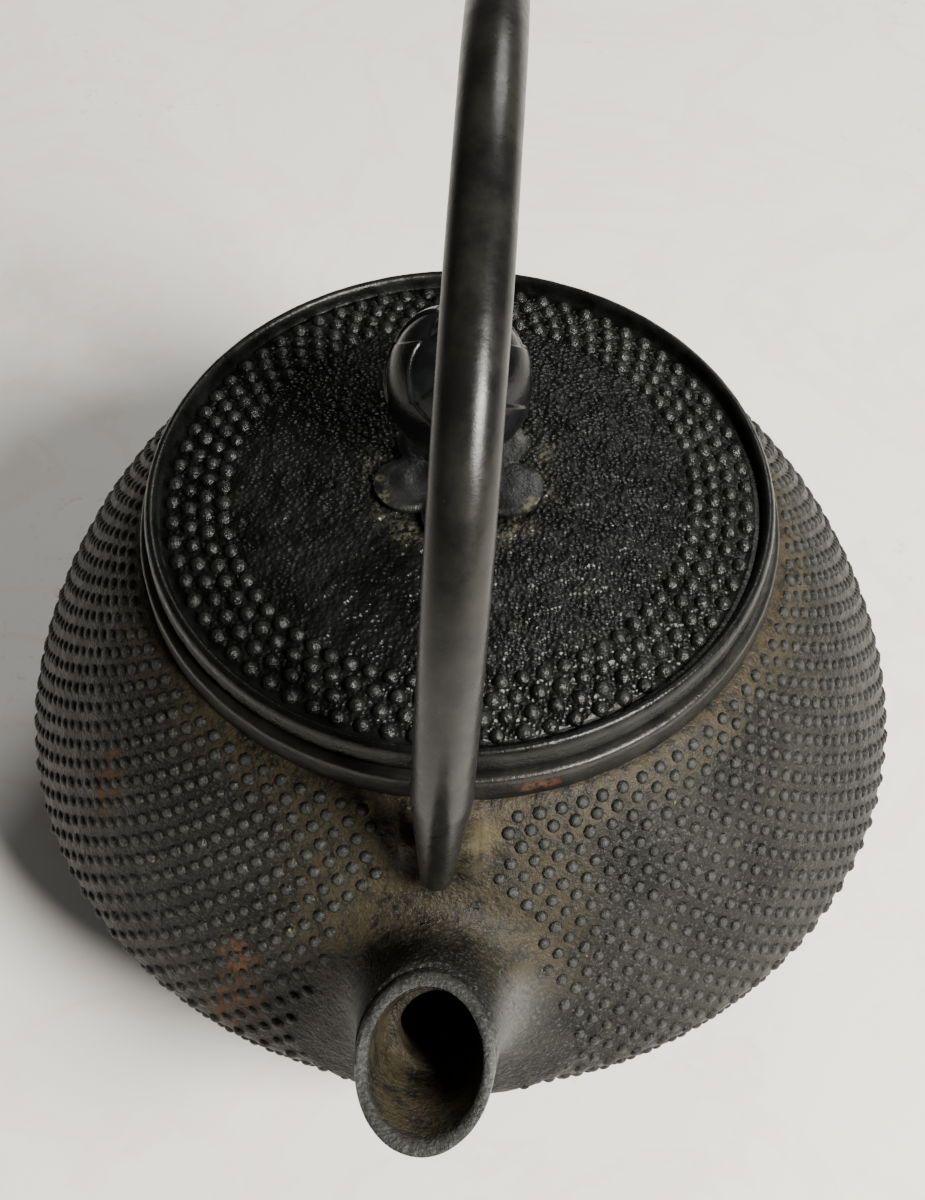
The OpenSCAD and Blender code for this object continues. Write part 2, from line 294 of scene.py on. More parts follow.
def rings_to_shell(rings: Array, first_pole: bool, last_pole: bool, loop: bool = False) -> Shell:
    """Joins rings of points, each closed on itself, into a shell.

    Args:
        rings: array of ring by point by 3.
        first_pole: whether the first ring is closed by one point at its middle.
        last_pole: whether the last ring is.
        loop: whether the last ring joins the first.

    Returns:
        The shell; normals point out where the rings run down and the points turn left.
    """
    count, around = rings.shape[:2]
    points = rings.reshape(-1, 3)
    i = np.arange(count if loop else count - 1)[:, None]
    j = np.arange(around)[None, :]
    nxt, over = (i + 1) % count, (j + 1) % around
    quads = np.stack(
        [i * around + j, nxt * around + j, nxt * around + over, i * around + over], -1
    ).reshape(-1, 4)
    tris: List[Array] = []
    a = np.arange(around)
    b = (a + 1) % around
    if first_pole:
        points = np.concatenate([points, rings[0].mean(0, keepdims=True)])
        tris.append(np.stack([np.full(around, len(points) - 1), a, b], -1))
    if last_pole:
        points = np.concatenate([points, rings[-1].mean(0, keepdims=True)])
        base = (count - 1) * around
        tris.append(np.stack([np.full(around, len(points) - 1), base + b, base + a], -1))
    faces = np.concatenate(tris) if tris else np.zeros((0, 3), int)
    return Shell(points, quads, faces)


def turned(profile: Array, around: int, loop: bool = False) -> Shell:
    """Turns a profile about the Z axis.

    Args:
        profile: radius and height of each ring, from the top down the outside.
        around: points in each ring.
        loop: whether the profile is closed on itself.

    Returns:
        The shell, closed at an end that lies on the axis.
    """
    profile = np.asarray(profile, float)
    first, last = profile[0, 0] < 1e-6, profile[-1, 0] < 1e-6
    body = profile[int(first) : len(profile) - int(last)]
    angle = 2.0 * math.pi * np.arange(around) / around
    rings = np.empty((len(body), around, 3))
    rings[..., 0] = body[:, :1] * np.cos(angle)
    rings[..., 1] = body[:, :1] * np.sin(angle)
    rings[..., 2] = body[:, 1:2]
    shell = rings_to_shell(rings, first, last, loop)
    ends = [profile[0, 1]] * first + [profile[-1, 1]] * last
    for back, height in enumerate(reversed(ends)):
        shell.points[len(shell.points) - 1 - back] = (0.0, 0.0, height)
    return shell


def refined(profile: Sequence[Sequence[float]], step: float) -> Array:
    """Adds points along a profile's straight stretches.

    Args:
        profile: its corners.
        step: the longest stretch to leave.

    Returns:
        The finer profile.
    """
    corners = np.asarray(profile, float)
    made = [corners[:1]]
    for a, b in zip(corners[:-1], corners[1:]):
        parts = max(1, int(math.ceil(float(np.linalg.norm(b - a)) / step)))
        made.append(a + (b - a) * (np.arange(1, parts + 1) / parts)[:, None])
    return np.concatenate(made)


def net(distance: Callable[[Array], Array], low: Array, high: Array, step: float) -> Shell:
    """Skins the solid where a distance is negative.

    Args:
        distance: distance to the solid's surface, negative inside.
        low: lowest corner of the space to search.
        high: highest corner.
        step: width of the cells.

    Returns:
        The skin, its points drawn onto the surface.
    """
    axes = [np.arange(a, b + step, step) for a, b in zip(low, high)]
    shape = tuple(len(a) for a in axes)
    values = np.empty(shape)
    flat = np.stack(np.meshgrid(axes[0], axes[1], indexing="ij"), -1).reshape(-1, 2)
    for k, height in enumerate(axes[2]):
        layer = np.column_stack([flat, np.full(len(flat), height)])
        values[:, :, k] = distance(layer).reshape(shape[0], shape[1])
    inside = values < 0.0
    count = np.zeros(tuple(n - 1 for n in shape), np.int8)
    for dx in (0, 1):
        for dy in (0, 1):
            for dz in (0, 1):
                count += inside[
                    dx : shape[0] - 1 + dx, dy : shape[1] - 1 + dy, dz : shape[2] - 1 + dz
                ]
    mixed = (count > 0) & (count < 8)
    index = np.full(mixed.shape, -1, np.int64)
    index[mixed] = np.arange(int(mixed.sum()))
    cells = np.argwhere(mixed)
    points = np.asarray(low) + (cells + 0.5) * step
    quads: List[Array] = []
    for axis in range(3):
        ends = [slice(None)] * 3
        ends[axis] = slice(1, None)
        starts = [slice(None)] * 3
        starts[axis] = slice(None, -1)
        change = inside[tuple(starts)] != inside[tuple(ends)]
        at = np.argwhere(change)
        b, c = (axis + 1) % 3, (axis + 2) % 3
        limit = np.array(mixed.shape)
        at = at[(at[:, b] > 0) & (at[:, c] > 0) & (at[:, b] < limit[b]) & (at[:, c] < limit[c])]
        around = []
        for db, dc in ((-1, -1), (0, -1), (0, 0), (-1, 0)):
            cell = at.copy()
            cell[:, b] += db
            cell[:, c] += dc
            around.append(index[cell[:, 0], cell[:, 1], cell[:, 2]])
        face = np.stack(around, -1)
        flip = ~inside[at[:, 0], at[:, 1], at[:, 2]]
        face[flip] = face[flip][:, ::-1]
        quads.append(face)
    for _ in range(5):
        slope = gradient(distance, points, 0.35 * step)
        shift = distance(points)[:, None] * slope
        size = np.linalg.norm(shift, axis=1, keepdims=True)
        points = points - shift * np.minimum(1.0, 0.6 * step / np.maximum(size, 1e-9))
    return Shell(points, np.concatenate(quads))


def gradient(distance: Callable[[Array], Array], points: Array, reach: float) -> Array:
    """Unit directions in which a distance grows.

    Args:
        distance: the distance.
        points: where.
        reach: half the span of each difference.

    Returns:
        One direction for each point.
    """
    slope = np.empty_like(points)
    for axis in range(3):
        step = np.zeros(3)
        step[axis] = reach
        slope[:, axis] = distance(points + step) - distance(points - step)
    return slope / np.maximum(np.linalg.norm(slope, axis=1, keepdims=True), 1e-12)


# ---------------------------------------------------------------- finishes


class Graph:
    """A material's node tree under construction."""

    def __init__(self, name: str) -> None:
        """Starts with a principled shader.

        Args:
            name: the material's name.
        """
        self.material = bpy.data.materials.new(name)
        self.material.use_nodes = True
        self.tree = self.material.node_tree
        self.tree.nodes.clear()
        output = self.node("ShaderNodeOutputMaterial")
        self.shader = self.node("ShaderNodeBsdfPrincipled")
        self.tree.links.new(self.shader.outputs["BSDF"], output.inputs["Surface"])
        self.place = self.node("ShaderNodeTexCoord").outputs["Object"]

    def node(self, kind: str, **settings: object) -> bpy.types.Node:
        """Adds a node.

        Args:
            kind: its type.
            settings: properties to set on it.

        Returns:
            The node.
        """
        made = self.tree.nodes.new(kind)
        for name, value in settings.items():
            setattr(made, name, value)
        return made

    def feed(self, socket: bpy.types.NodeSocket, value: object) -> None:
        """Links or sets an input.

        Args:
            socket: the input.
            value: an output socket, a number or a colour.
        """
        if isinstance(value, bpy.types.NodeSocket):
            self.tree.links.new(value, socket)
        elif isinstance(value, tuple) and len(value) == 3 and socket.type == "RGBA":
            socket.default_value = (*value, 1.0)
        else:
            socket.default_value = value

    def math(self, operation: str, a: object, b: object = 0.0, clamp: bool = False):
        """Adds a sum.

        Args:
            operation: what it does.
            a: first value.
            b: second value.
            clamp: whether to keep the result from 0 to 1.

        Returns:
            The result's socket.
        """
        made = self.node("ShaderNodeMath", operation=operation, use_clamp=clamp)
        self.feed(made.inputs[0], a)
        self.feed(made.inputs[1], b)
        return made.outputs[0]

    def noise(self, size: float, detail: float = 2.0, rough: float = 0.55, bend: float = 0.0):
        """Adds smooth noise.

        Args:
            size: width of its lumps, in millimetres.
            detail: how many finer layers it has.
            rough: their strength.
            bend: how far it is distorted.

        Returns:
            The socket with its value, from 0 to 1.
        """
        made = self.node("ShaderNodeTexNoise")
        self.feed(made.inputs["Vector"], self.place)
        self.feed(made.inputs["Scale"], 1.0 / (size * MM))
        self.feed(made.inputs["Detail"], detail)
        self.feed(made.inputs["Roughness"], rough)
        self.feed(made.inputs["Distortion"], bend)
        return made.outputs[0]

    def cells(self, size: float):
        """Adds the distance to scattered points.

        Args:
            size: how far apart the points are, in millimetres.

        Returns:
            The distance's socket.
        """
        made = self.node("ShaderNodeTexVoronoi")
        self.feed(made.inputs["Vector"], self.place)
        self.feed(made.inputs["Scale"], 1.0 / (size * MM))
        return made.outputs["Distance"]

    def mask(self, name: str):
        """Reads a mesh's named share.

        Args:
            name: the attribute.

        Returns:
            Its socket.
        """
        return self.node("ShaderNodeAttribute", attribute_name=name).outputs["Fac"]

    def fit(self, value: object, low: float, high: float, out: Tuple[float, float] = (0, 1)):
        """Eases a value between two limits.

        Args:
            value: the value.
            low: where the result is out[0].
            high: where the result is out[1].
            out: the results at both limits.

        Returns:
            The result's socket.
        """
        made = self.node("ShaderNodeMapRange", interpolation_type="SMOOTHSTEP")
        for name, given in (
            ("Value", value),
            ("From Min", low),
            ("From Max", high),
            ("To Min", float(out[0])),
            ("To Max", float(out[1])),
        ):
            self.feed(made.inputs[name], given)
        return made.outputs["Result"]

    def mix(self, share: object, a: object, b: object):
        """Mixes two colours.

        Args:
            share: how much of the second.
            a: first colour.
            b: second colour.

        Returns:
            The mixed colour's socket.
        """
        made = self.node("ShaderNodeMix", data_type="RGBA")
        self.feed(made.inputs[0], share)
        self.feed(made.inputs[6], a)
        self.feed(made.inputs[7], b)
        return made.outputs[2]

    def bump(self, height: object, depth: float, under: Optional[object] = None):
        """Adds a bump.

        Args:
            height: its height's socket, from 0 to 1.
            depth: its depth, in millimetres.
            under: a bump that it lies on.

        Returns:
            The normal's socket.
        """
        made = self.node("ShaderNodeBump")
        self.feed(made.inputs["Strength"], 1.0)
        self.feed(made.inputs["Distance"], depth * MM)
        self.feed(made.inputs["Height"], height)
        if under is not None:
            self.feed(made.inputs["Normal"], under)
        return made.outputs["Normal"]

    def set(self, **inputs: object) -> bpy.types.Material:
        """Feeds the shader's inputs.

        Args:
            inputs: their names, with _ for a space, and values.

        Returns:
            The finished material.
        """
        for name, value in inputs.items():
            self.feed(self.shader.inputs[name.replace("_", " ")], value)
        return self.material


@dataclass(frozen=True)
class IronSkin:
    """Matte casting: dark iron, brown film, pale rubbed specks, a pale painted reflection and hobnail
    tops painted lighter, dust and rust spots.
    """

    name: str = "iron_skin"
    dark: Colour = (0.003, 0.003, 0.0024)
    grey: Colour = (0.0105, 0.0104, 0.0086)
    brown: Colour = (0.029, 0.0235, 0.0135)
    worn: Colour = (0.105, 0.108, 0.104)
    rust: Colour = (0.085, 0.042, 0.017)
    dust: Colour = (0.17, 0.145, 0.07)

    def build(self) -> bpy.types.Material:
        """Makes the material.

        Returns:
            The material.
        """
        g = Graph(self.name)
        film = g.noise(14.0, 4.0, 0.6, 0.4)
        grit = g.noise(0.5, 3.0, 0.65)
        colour = g.mix(g.fit(film, 0.35, 0.68), self.dark, self.grey)
        colour = g.mix(g.fit(grit, 0.52, 0.74, (0.0, 0.34)), colour, self.worn)
        brown = g.math("MULTIPLY", g.mask("brown"), g.fit(g.noise(2.5, 4.0, 0.7), 0.32, 0.6))
        colour = g.mix(brown, colour, self.brown)
        # Hobnail tops painted paler: partly rubbed bare, partly a painted highlight.
        tip = g.math("MULTIPLY", g.mask("tip"), g.fit(g.noise(6.0, 3.0), 0.2, 0.6, (0.4, 1.0)))
        colour = g.mix(g.math("MULTIPLY", tip, 0.20), colour, self.worn)
        # Pale patches from the mask: mostly a painted reflection of the floor on the spout's lower
        # sides, and a paler lip rim.
        wear_and_sheen_share = g.math("MULTIPLY", g.mask("worn"), g.fit(grit, 0.25, 0.6, (0.45, 1.0)))
        colour = g.mix(wear_and_sheen_share, colour, self.worn)
        speck = g.fit(g.noise(1.3, 3.0, 0.7), 0.66, 0.74)
        sparse = g.fit(g.noise(16.0, 2.0), 0.55, 0.66)
        dusty = g.math("MULTIPLY", speck, sparse)
        dusty = g.math("ADD", dusty, g.mask("dust"), True)
        colour = g.mix(g.math("MULTIPLY", dusty, 0.7), colour, self.dust)
        patch = g.math("MULTIPLY", g.mask("rust"), g.fit(g.noise(1.6, 4.0, 0.75), 0.38, 0.62))
        colour = g.mix(patch, colour, self.rust)
        dull = g.math("MAXIMUM", patch, dusty)
        rough = g.fit(g.noise(3.0, 3.0), 0.3, 0.7, (0.40, 0.56))
        rough = g.math("ADD", rough, g.math("MULTIPLY", dull, 0.3), True)
        normal = g.bump(g.noise(0.9, 3.0, 0.6), 0.34)
        normal = g.bump(grit, 0.16, normal)
        return g.set(
            Base_Color=colour, Roughness=rough, Normal=normal, Specular_IOR_Level=0.13
        )


@dataclass(frozen=True)
class Enamel:
    """Glossy coat over a rough casting, with dust that settles in its hollows."""

    name: str
    dark: Colour
    light: Colour
    dust: Colour = (0.23, 0.22, 0.14)
    rust: Colour = (0.055, 0.022, 0.010)
    gloss: float = 0.3
    grain: float = 0.09
    sand: float = 0.0
    coat: float = 0.0
    shine: float = 0.5

    def build(self) -> bpy.types.Material:
        """Makes the material.

        Returns:
            The material.
        """
        g = Graph(self.name)
        film = g.noise(5.0, 4.0, 0.6)
        colour = g.mix(g.fit(film, 0.35, 0.7), self.dark, self.light)
        # Tops that the tip mask marks are painted lighter: a painted highlight on the lid's sand, bead
        # crest and hobnails, and lighter tops on the collar's edge and the bud.
        colour = g.mix(g.math("MULTIPLY", g.mask("tip"), 0.5), colour, self.light)
        settled = g.math("MULTIPLY", g.mask("dust"), g.fit(g.noise(0.8, 4.0, 0.7), 0.42, 0.62))
        speck = g.fit(g.noise(0.7, 3.0, 0.7), 0.72, 0.8, (0.0, 0.5))
        dusty = g.math("ADD", settled, speck, True)
        colour = g.mix(dusty, colour, self.dust)
        patch = g.math("MULTIPLY", g.mask("rust"), g.fit(g.noise(1.2, 4.0, 0.75), 0.36, 0.6))
        colour = g.mix(patch, colour, self.rust)
        rough = g.fit(g.noise(2.0, 3.0), 0.3, 0.7, (self.gloss, self.gloss + 0.14))
        rough = g.math("ADD", rough, g.math("MULTIPLY", dusty, 0.35), True)
        normal = g.bump(g.noise(0.55, 3.0, 0.6), self.grain)
        if self.sand > 0.0:
            lumps = g.math("MULTIPLY", g.cells(0.72), g.mask("sand"))
            normal = g.bump(lumps, self.sand, normal)
        return g.set(
            Base_Color=colour, Roughness=rough, Normal=normal, Coat_Weight=self.coat,
            Coat_Roughness=0.12, Specular_IOR_Level=self.shine,
        )


@dataclass(frozen=True)
class Satin:
    """Smooth black rod with a soft sheen and fine scratches along it."""

    name: str = "satin_black"
    dark: Colour = (0.004, 0.004, 0.004)
    light: Colour = (0.011, 0.011, 0.009)
    speck: Colour = (0.12, 0.11, 0.10)

    def build(self) -> bpy.types.Material:
        """Makes the material.

        Returns:
            The material.
        """
        g = Graph(self.name)
        film = g.noise(9.0, 5.0, 0.65)
        colour = g.mix(g.fit(film, 0.35, 0.7), self.dark, self.light)
        speck = g.fit(g.noise(0.9, 3.0, 0.7), 0.7, 0.78, (0.0, 0.35))
        colour = g.mix(speck, colour, self.speck)
        rough = g.fit(g.noise(2.2, 5.0, 0.7), 0.3, 0.72, (0.25, 0.36))
        normal = g.bump(g.noise(3.2, 2.0, 0.5), 0.05)
        normal = g.bump(g.noise(0.35, 2.0, 0.6), 0.012, normal)
        return g.set(Base_Color=colour, Roughness=rough, Normal=normal, Specular_IOR_Level=0.2)


@dataclass(frozen=True)
class Steel:
    """Plain or brushed steel."""

    name: str
    colour: Colour = (0.52, 0.52, 0.51)
    rough: float = 0.28

    def build(self) -> bpy.types.Material:
        """Makes the material.

        Returns:
            The material.
        """
        g = Graph(self.name)
        stain = g.fit(g.noise(6.0, 4.0, 0.6), 0.4, 0.75)
        colour = g.mix(stain, self.colour, tuple(0.72 * c for c in self.colour))
        rough = g.fit(g.noise(1.2, 4.0, 0.6), 0.3, 0.7, (self.rough, self.rough + 0.12))
        normal = g.bump(g.noise(0.4, 2.0), 0.008)
        return g.set(Base_Color=colour, Roughness=rough, Metallic=1.0, Normal=normal)


@dataclass(frozen=True)
class PaleStone:
    """Off-white polished floor with faint warm veins."""

    name: str = "pale_stone"
    ground: Colour = (0.79, 0.775, 0.738)
    vein: Colour = (0.74, 0.66, 0.63)
    stain: Colour = (0.46, 0.38, 0.38)

    def build(self) -> bpy.types.Material:
        """Makes the material.

        Returns:
            The material.
        """
        g = Graph(self.name)
        drift = g.noise(60.0, 5.0, 0.6, 1.2)
        line = g.math("ABSOLUTE", g.math("SUBTRACT", drift, 0.5))
        share = g.fit(line, 0.0, 0.05, (0.5, 0.0))
        colour = g.mix(share, self.ground, self.vein)
        fleck = g.fit(g.noise(4.0, 5.0, 0.75), 0.56, 0.68)
        cloud = g.fit(g.noise(75.0, 3.0, 0.5), 0.50, 0.66, (0.0, 0.5))
        colour = g.mix(g.math("MULTIPLY", fleck, cloud), colour, self.stain)
        return g.set(Base_Color=colour, Roughness=0.5)


# ---------------------------------------------------------------- repeats


class Repeater:
    """A Geometry Nodes tree that sets one small shape at every point of a mesh."""

    FACING = "facing"
    ALONG = "along"
    SCALE = "scale"

    def __init__(self) -> None:
        """Builds the tree."""
        tree = bpy.data.node_groups.new("set_out", "GeometryNodeTree")
        face = tree.interface
        face.new_socket("Geometry", in_out="INPUT", socket_type="NodeSocketGeometry")
        face.new_socket("Shape", in_out="INPUT", socket_type="NodeSocketObject")
        face.new_socket("Variation", in_out="INPUT", socket_type="NodeSocketFloat")
        face.new_socket("Seed", in_out="INPUT", socket_type="NodeSocketInt")
        face.new_socket("Material", in_out="INPUT", socket_type="NodeSocketMaterial")
        face.new_socket("Geometry", in_out="OUTPUT", socket_type="NodeSocketGeometry")
        self.tree = tree
        start, end = self._node("NodeGroupInput"), self._node("NodeGroupOutput")
        shape = self._node("GeometryNodeObjectInfo")
        facing, along, scale = (
            self._attribute(self.FACING, "FLOAT_VECTOR"),
            self._attribute(self.ALONG, "FLOAT_VECTOR"),
            self._attribute(self.SCALE, "FLOAT"),
        )
        up = self._node("FunctionNodeAlignRotationToVector", axis="Z")
        side = self._node("FunctionNodeAlignRotationToVector", axis="X", pivot_axis="Z")
        random = self._node("FunctionNodeRandomValue", data_type="FLOAT")
        low = self._node("ShaderNodeMath", operation="SUBTRACT")
        high = self._node("ShaderNodeMath", operation="ADD")
        size = self._node("ShaderNodeMath", operation="MULTIPLY")
        place = self._node("GeometryNodeInstanceOnPoints")
        real = self._node("GeometryNodeRealizeInstances")
        finish = self._node("GeometryNodeSetMaterial")
        low.inputs[0].default_value = 1.0
        high.inputs[0].default_value = 1.0
        for a, b in (
            (start.outputs["Variation"], low.inputs[1]),
            (start.outputs["Variation"], high.inputs[1]),
            (low.outputs[0], random.inputs[2]),
            (high.outputs[0], random.inputs[3]),
            (start.outputs["Seed"], random.inputs["Seed"]),
            (random.outputs[1], size.inputs[0]),
            (scale, size.inputs[1]),
            (start.outputs["Shape"], shape.inputs["Object"]),
            (facing, up.inputs["Vector"]),
            (up.outputs["Rotation"], side.inputs["Rotation"]),
            (along, side.inputs["Vector"]),
            (start.outputs["Geometry"], place.inputs["Points"]),
            (shape.outputs["Geometry"], place.inputs["Instance"]),
            (side.outputs["Rotation"], place.inputs["Rotation"]),
            (size.outputs[0], place.inputs["Scale"]),
            (place.outputs["Instances"], real.inputs["Geometry"]),
            (real.outputs["Geometry"], finish.inputs["Geometry"]),
            (start.outputs["Material"], finish.inputs["Material"]),
            (finish.outputs["Geometry"], end.inputs["Geometry"]),
        ):
            tree.links.new(a, b)

    def _node(self, kind: str, **settings: object) -> bpy.types.Node:
        made = self.tree.nodes.new(kind)
        for name, value in settings.items():
            setattr(made, name, value)
        return made

    def _attribute(self, name: str, kind: str) -> bpy.types.NodeSocket:
        made = self._node("GeometryNodeInputNamedAttribute", data_type=kind)
        made.inputs["Name"].default_value = name
        return made.outputs["Attribute"]

    def build(
        self,
        name: str,
        shape: Shell,
        points: Array,
        facing: Array,
        material: bpy.types.Material,
        along: Optional[Array] = None,
        scale: Optional[Array] = None,
        variation: float = 0.0,
    ) -> bpy.types.Object:
        """Sets the shape out and keeps the result as a plain mesh.

        Args:
            name: the piece's name.
            shape: the small shape, standing on the XY plane.
            points: where each one goes.
            facing: the direction of each one's Z axis.
            material: the finish.
            along: the direction of each one's X axis.
            scale: each one's size.
            variation: how far sizes vary at random.

        Returns:
            The piece, at the origin.
        """
        pattern = shape.build(name + "_shape", material, 60.0)
        mesh = bpy.data.meshes.new(name)
        mesh.from_pydata([tuple(p * MM) for p in points], [], [])
        along = np.tile([1.0, 0.0, 0.0], (len(points), 1)) if along is None else along
        scale = np.ones(len(points)) if scale is None else scale
        for label, values in ((self.FACING, facing), (self.ALONG, along)):
            layer = mesh.attributes.new(label, "FLOAT_VECTOR", "POINT")
            layer.data.foreach_set("vector", np.asarray(values, np.float32).ravel())
        layer = mesh.attributes.new(self.SCALE, "FLOAT", "POINT")
        layer.data.foreach_set("value", np.asarray(scale, np.float32))
        thing = bpy.data.objects.new(name, mesh)
        bpy.context.scene.collection.objects.link(thing)
        modifier = thing.modifiers.new("set_out", "NODES")
        modifier.node_group = self.tree
        values = {"Shape": pattern, "Variation": variation, "Seed": 11, "Material": material}
        for item in self.tree.interface.items_tree:
            if item.in_out == "INPUT" and item.name in values:
                modifier[item.identifier] = values[item.name]
        graph = bpy.context.evaluated_depsgraph_get()
        done = bpy.data.meshes.new_from_object(
            thing.evaluated_get(graph), preserve_all_data_layers=True, depsgraph=graph
        )
        thing.modifiers.remove(modifier)
        thing.data = done
        done.polygons.foreach_set("use_smooth", np.ones(len(done.polygons), bool))
        bpy.data.objects.remove(pattern)
        return thing


def hobnail(radius: float, height: float, around: int, rings: int, sunk: float) -> Shell:
    """One hobnail, a low dome whose foot is sunk in the casting.

    Args:
        radius: of its foot.
        height: above the casting.
        around: sides.
        rings: rings of faces.
        sunk: how deep its foot goes.

    Returns:
        The dome, with a mask that is 1 on its top; the finishes paint that top lighter, partly rubbed
        bare and partly a painted highlight.
    """
    profile = [(0.0, height)]
    for k in range(1, rings + 1):
        share = k / rings
        profile.append((radius * share ** 0.8, height * math.cos(0.5 * math.pi * share) ** 0.9))
    profile.append((radius * 1.06, -sunk))
    shell = turned(np.array(profile), around)
    shell.masks["tip"] = ease(0.35, 0.95, shell.points[:, 2] / height)
    return shell


# ---------------------------------------------------------------- camera and light


@dataclass(frozen=True)
class Lamp:
    """A soft round lamp; place and width in metres, power in watts."""

    name: str
    at: Tuple[float, float, float]
    size: float
    power: float
    tint: Colour

    def build(self, aim: Vector) -> None:
        """Makes the lamp.

        Args:
            aim: the place that it faces.
        """
        data = bpy.data.lights.new(self.name, "AREA")
        data.shape, data.size = "DISK", self.size
        data.energy, data.color = self.power, self.tint
        thing = bpy.data.objects.new(self.name, data)
        bpy.context.scene.collection.objects.link(thing)
        thing.location = self.at
        thing.rotation_euler = (aim - Vector(self.at)).to_track_quat("-Z", "Y").to_euler()


@dataclass(frozen=True)
class Studio:
    """The camera, the floor and soft light from the right."""

    lens: float = 56.97
    sensor: float = 36.0
    azimuth: float = 3.306
    elevation: float = 53.41
    roll: float = -0.232
    distance: float = 274.464
    aim_right: float = 0.417
    aim_up: float = -13.189
    aim_z: float = 76.9
    floor_r: float = 3000.0
    sky: Colour = (1.0, 0.985, 0.95)
    sky_power: float = 0.11
    lamp_aim: Tuple[float, float, float] = (0.0, 0.0, 0.05)
    lamps: Tuple[Lamp, ...] = (
        Lamp("key", (0.50, -0.42, 0.62), 0.34, 31.5, (1.0, 0.965, 0.90)),
        Lamp("side", (0.40, 0.80, 0.80), 0.5, 7.0, (1.0, 0.98, 0.95)),
    )

    def camera(self) -> bpy.types.Object:
        """Makes the scene's camera.

        Returns:
            The camera.
        """
        e, r, a = (math.radians(v) for v in (self.elevation, self.roll, self.azimuth))
        ahead = np.array([0.0, math.cos(e), -math.sin(e)])
        right, up = np.array([1.0, 0.0, 0.0]), np.array([0.0, math.sin(e), math.cos(e)])
        right, up = (
            math.cos(r) * right + math.sin(r) * up,
            math.cos(r) * up - math.sin(r) * right,
        )
        at = self.aim_right * right + self.aim_up * up - self.distance * ahead
        turn = np.array(
            [[math.cos(a), -math.sin(a), 0.0], [math.sin(a), math.cos(a), 0.0], [0, 0, 1.0]]
        )
        at = turn @ at + np.array([0.0, 0.0, self.aim_z])
        axes = turn @ np.stack([right, up, -ahead], 1)
        data = bpy.data.cameras.new("camera")
        data.lens, data.sensor_width = self.lens, self.sensor
        data.clip_start, data.clip_end = 0.01, 10.0
        camera = bpy.data.objects.new("camera", data)
        bpy.context.scene.collection.objects.link(camera)
        matrix = Matrix([list(row) for row in axes]).to_4x4()
        matrix.translation = Vector(at * MM)
        camera.matrix_world = matrix
        bpy.context.scene.camera = camera
        return camera

    def build(self) -> None:
        """Makes floor, world and lamps."""
        r = self.floor_r
        ground = turned(np.array([(0.0, 0.0), (r, 0.0), (r, -1.0), (0.0, -1.0)]), 48)
        floor = ground.build("floor", PaleStone().build())
        floor.location.z = -0.0001
        world = bpy.data.worlds.new("world")
        bpy.context.scene.world = world
        world.use_nodes = True
        shade = world.node_tree.nodes["Background"]
        shade.inputs["Color"].default_value = (*self.sky, 1.0)
        shade.inputs["Strength"].default_value = self.sky_power
        for lamp in self.lamps:
            lamp.build(Vector(self.lamp_aim))


# ---------------------------------------------------------------- the pot


@dataclass(frozen=True)
class PotSizes:
    """Sizes of the casting."""

    belly_r: float = 68.66
    belly_z: float = 32.0
    shoulder_z: float = 72.4
    shoulder_power: float = 1.3
    flank_power: float = 1.44
    collar_r: float = 46.2
    collar_h: float = 4.5
    base_r: float = 40.0
    base_round: float = 1.6
    groove_r: float = 31.0
    groove_w: float = 3.0
    groove_h: float = 0.8
    wall: float = 3.6
    floor: float = 4.5
    recess_r: float = 42.8
    ledge_drop: float = 0.9
    mouth_r: float = 38.6
    lug_w: float = 11.0
    lug_face: float = 53.3
    lug_in: float = 38.0
    lug_top: float = 72.3
    lug_round: float = 1.4

    def half(self, top: float, height: float, side: float, foot: float, low: float) -> Array:
        """Half a section, from the shoulder's upper edge to the foot.

        Args:
            top: radius at the upper edge.
            height: height of the upper edge.
            side: radius at the belly.
            foot: radius at the foot.
            low: height of the foot.

        Returns:
            Radius and height of each point.
        """
        a = np.linspace(0.0, 0.5 * math.pi, 81)
        p, q = 2.0 / self.shoulder_power, 2.0 / self.flank_power
        rise, fall = height - self.belly_z, self.belly_z - low
        upper = np.column_stack(
            [top + (side - top) * np.sin(a) ** p, self.belly_z + rise * np.cos(a) ** p]
        )
        lower = np.column_stack(
            [foot + (side - foot) * np.cos(a) ** q, self.belly_z - fall * np.sin(a) ** q]
        )
        return np.concatenate([upper, lower[1:]])

    def outside(self) -> Array:
        """Section of the outer side.

        Returns:
            Radius and height of each point, from under the collar to the foot.
        """
        return self.half(
            self.collar_r, self.shoulder_z, self.belly_r, self.base_r, self.base_round
        )

    def inside(self) -> Array:
        """Section of the hollow.

        Returns:
            Radius and height of each point, from the neck to the floor.
        """
        return self.half(
            self.mouth_r, self.shoulder_z - self.wall, self.belly_r - self.wall,
            self.base_r - self.wall, self.floor,
        )


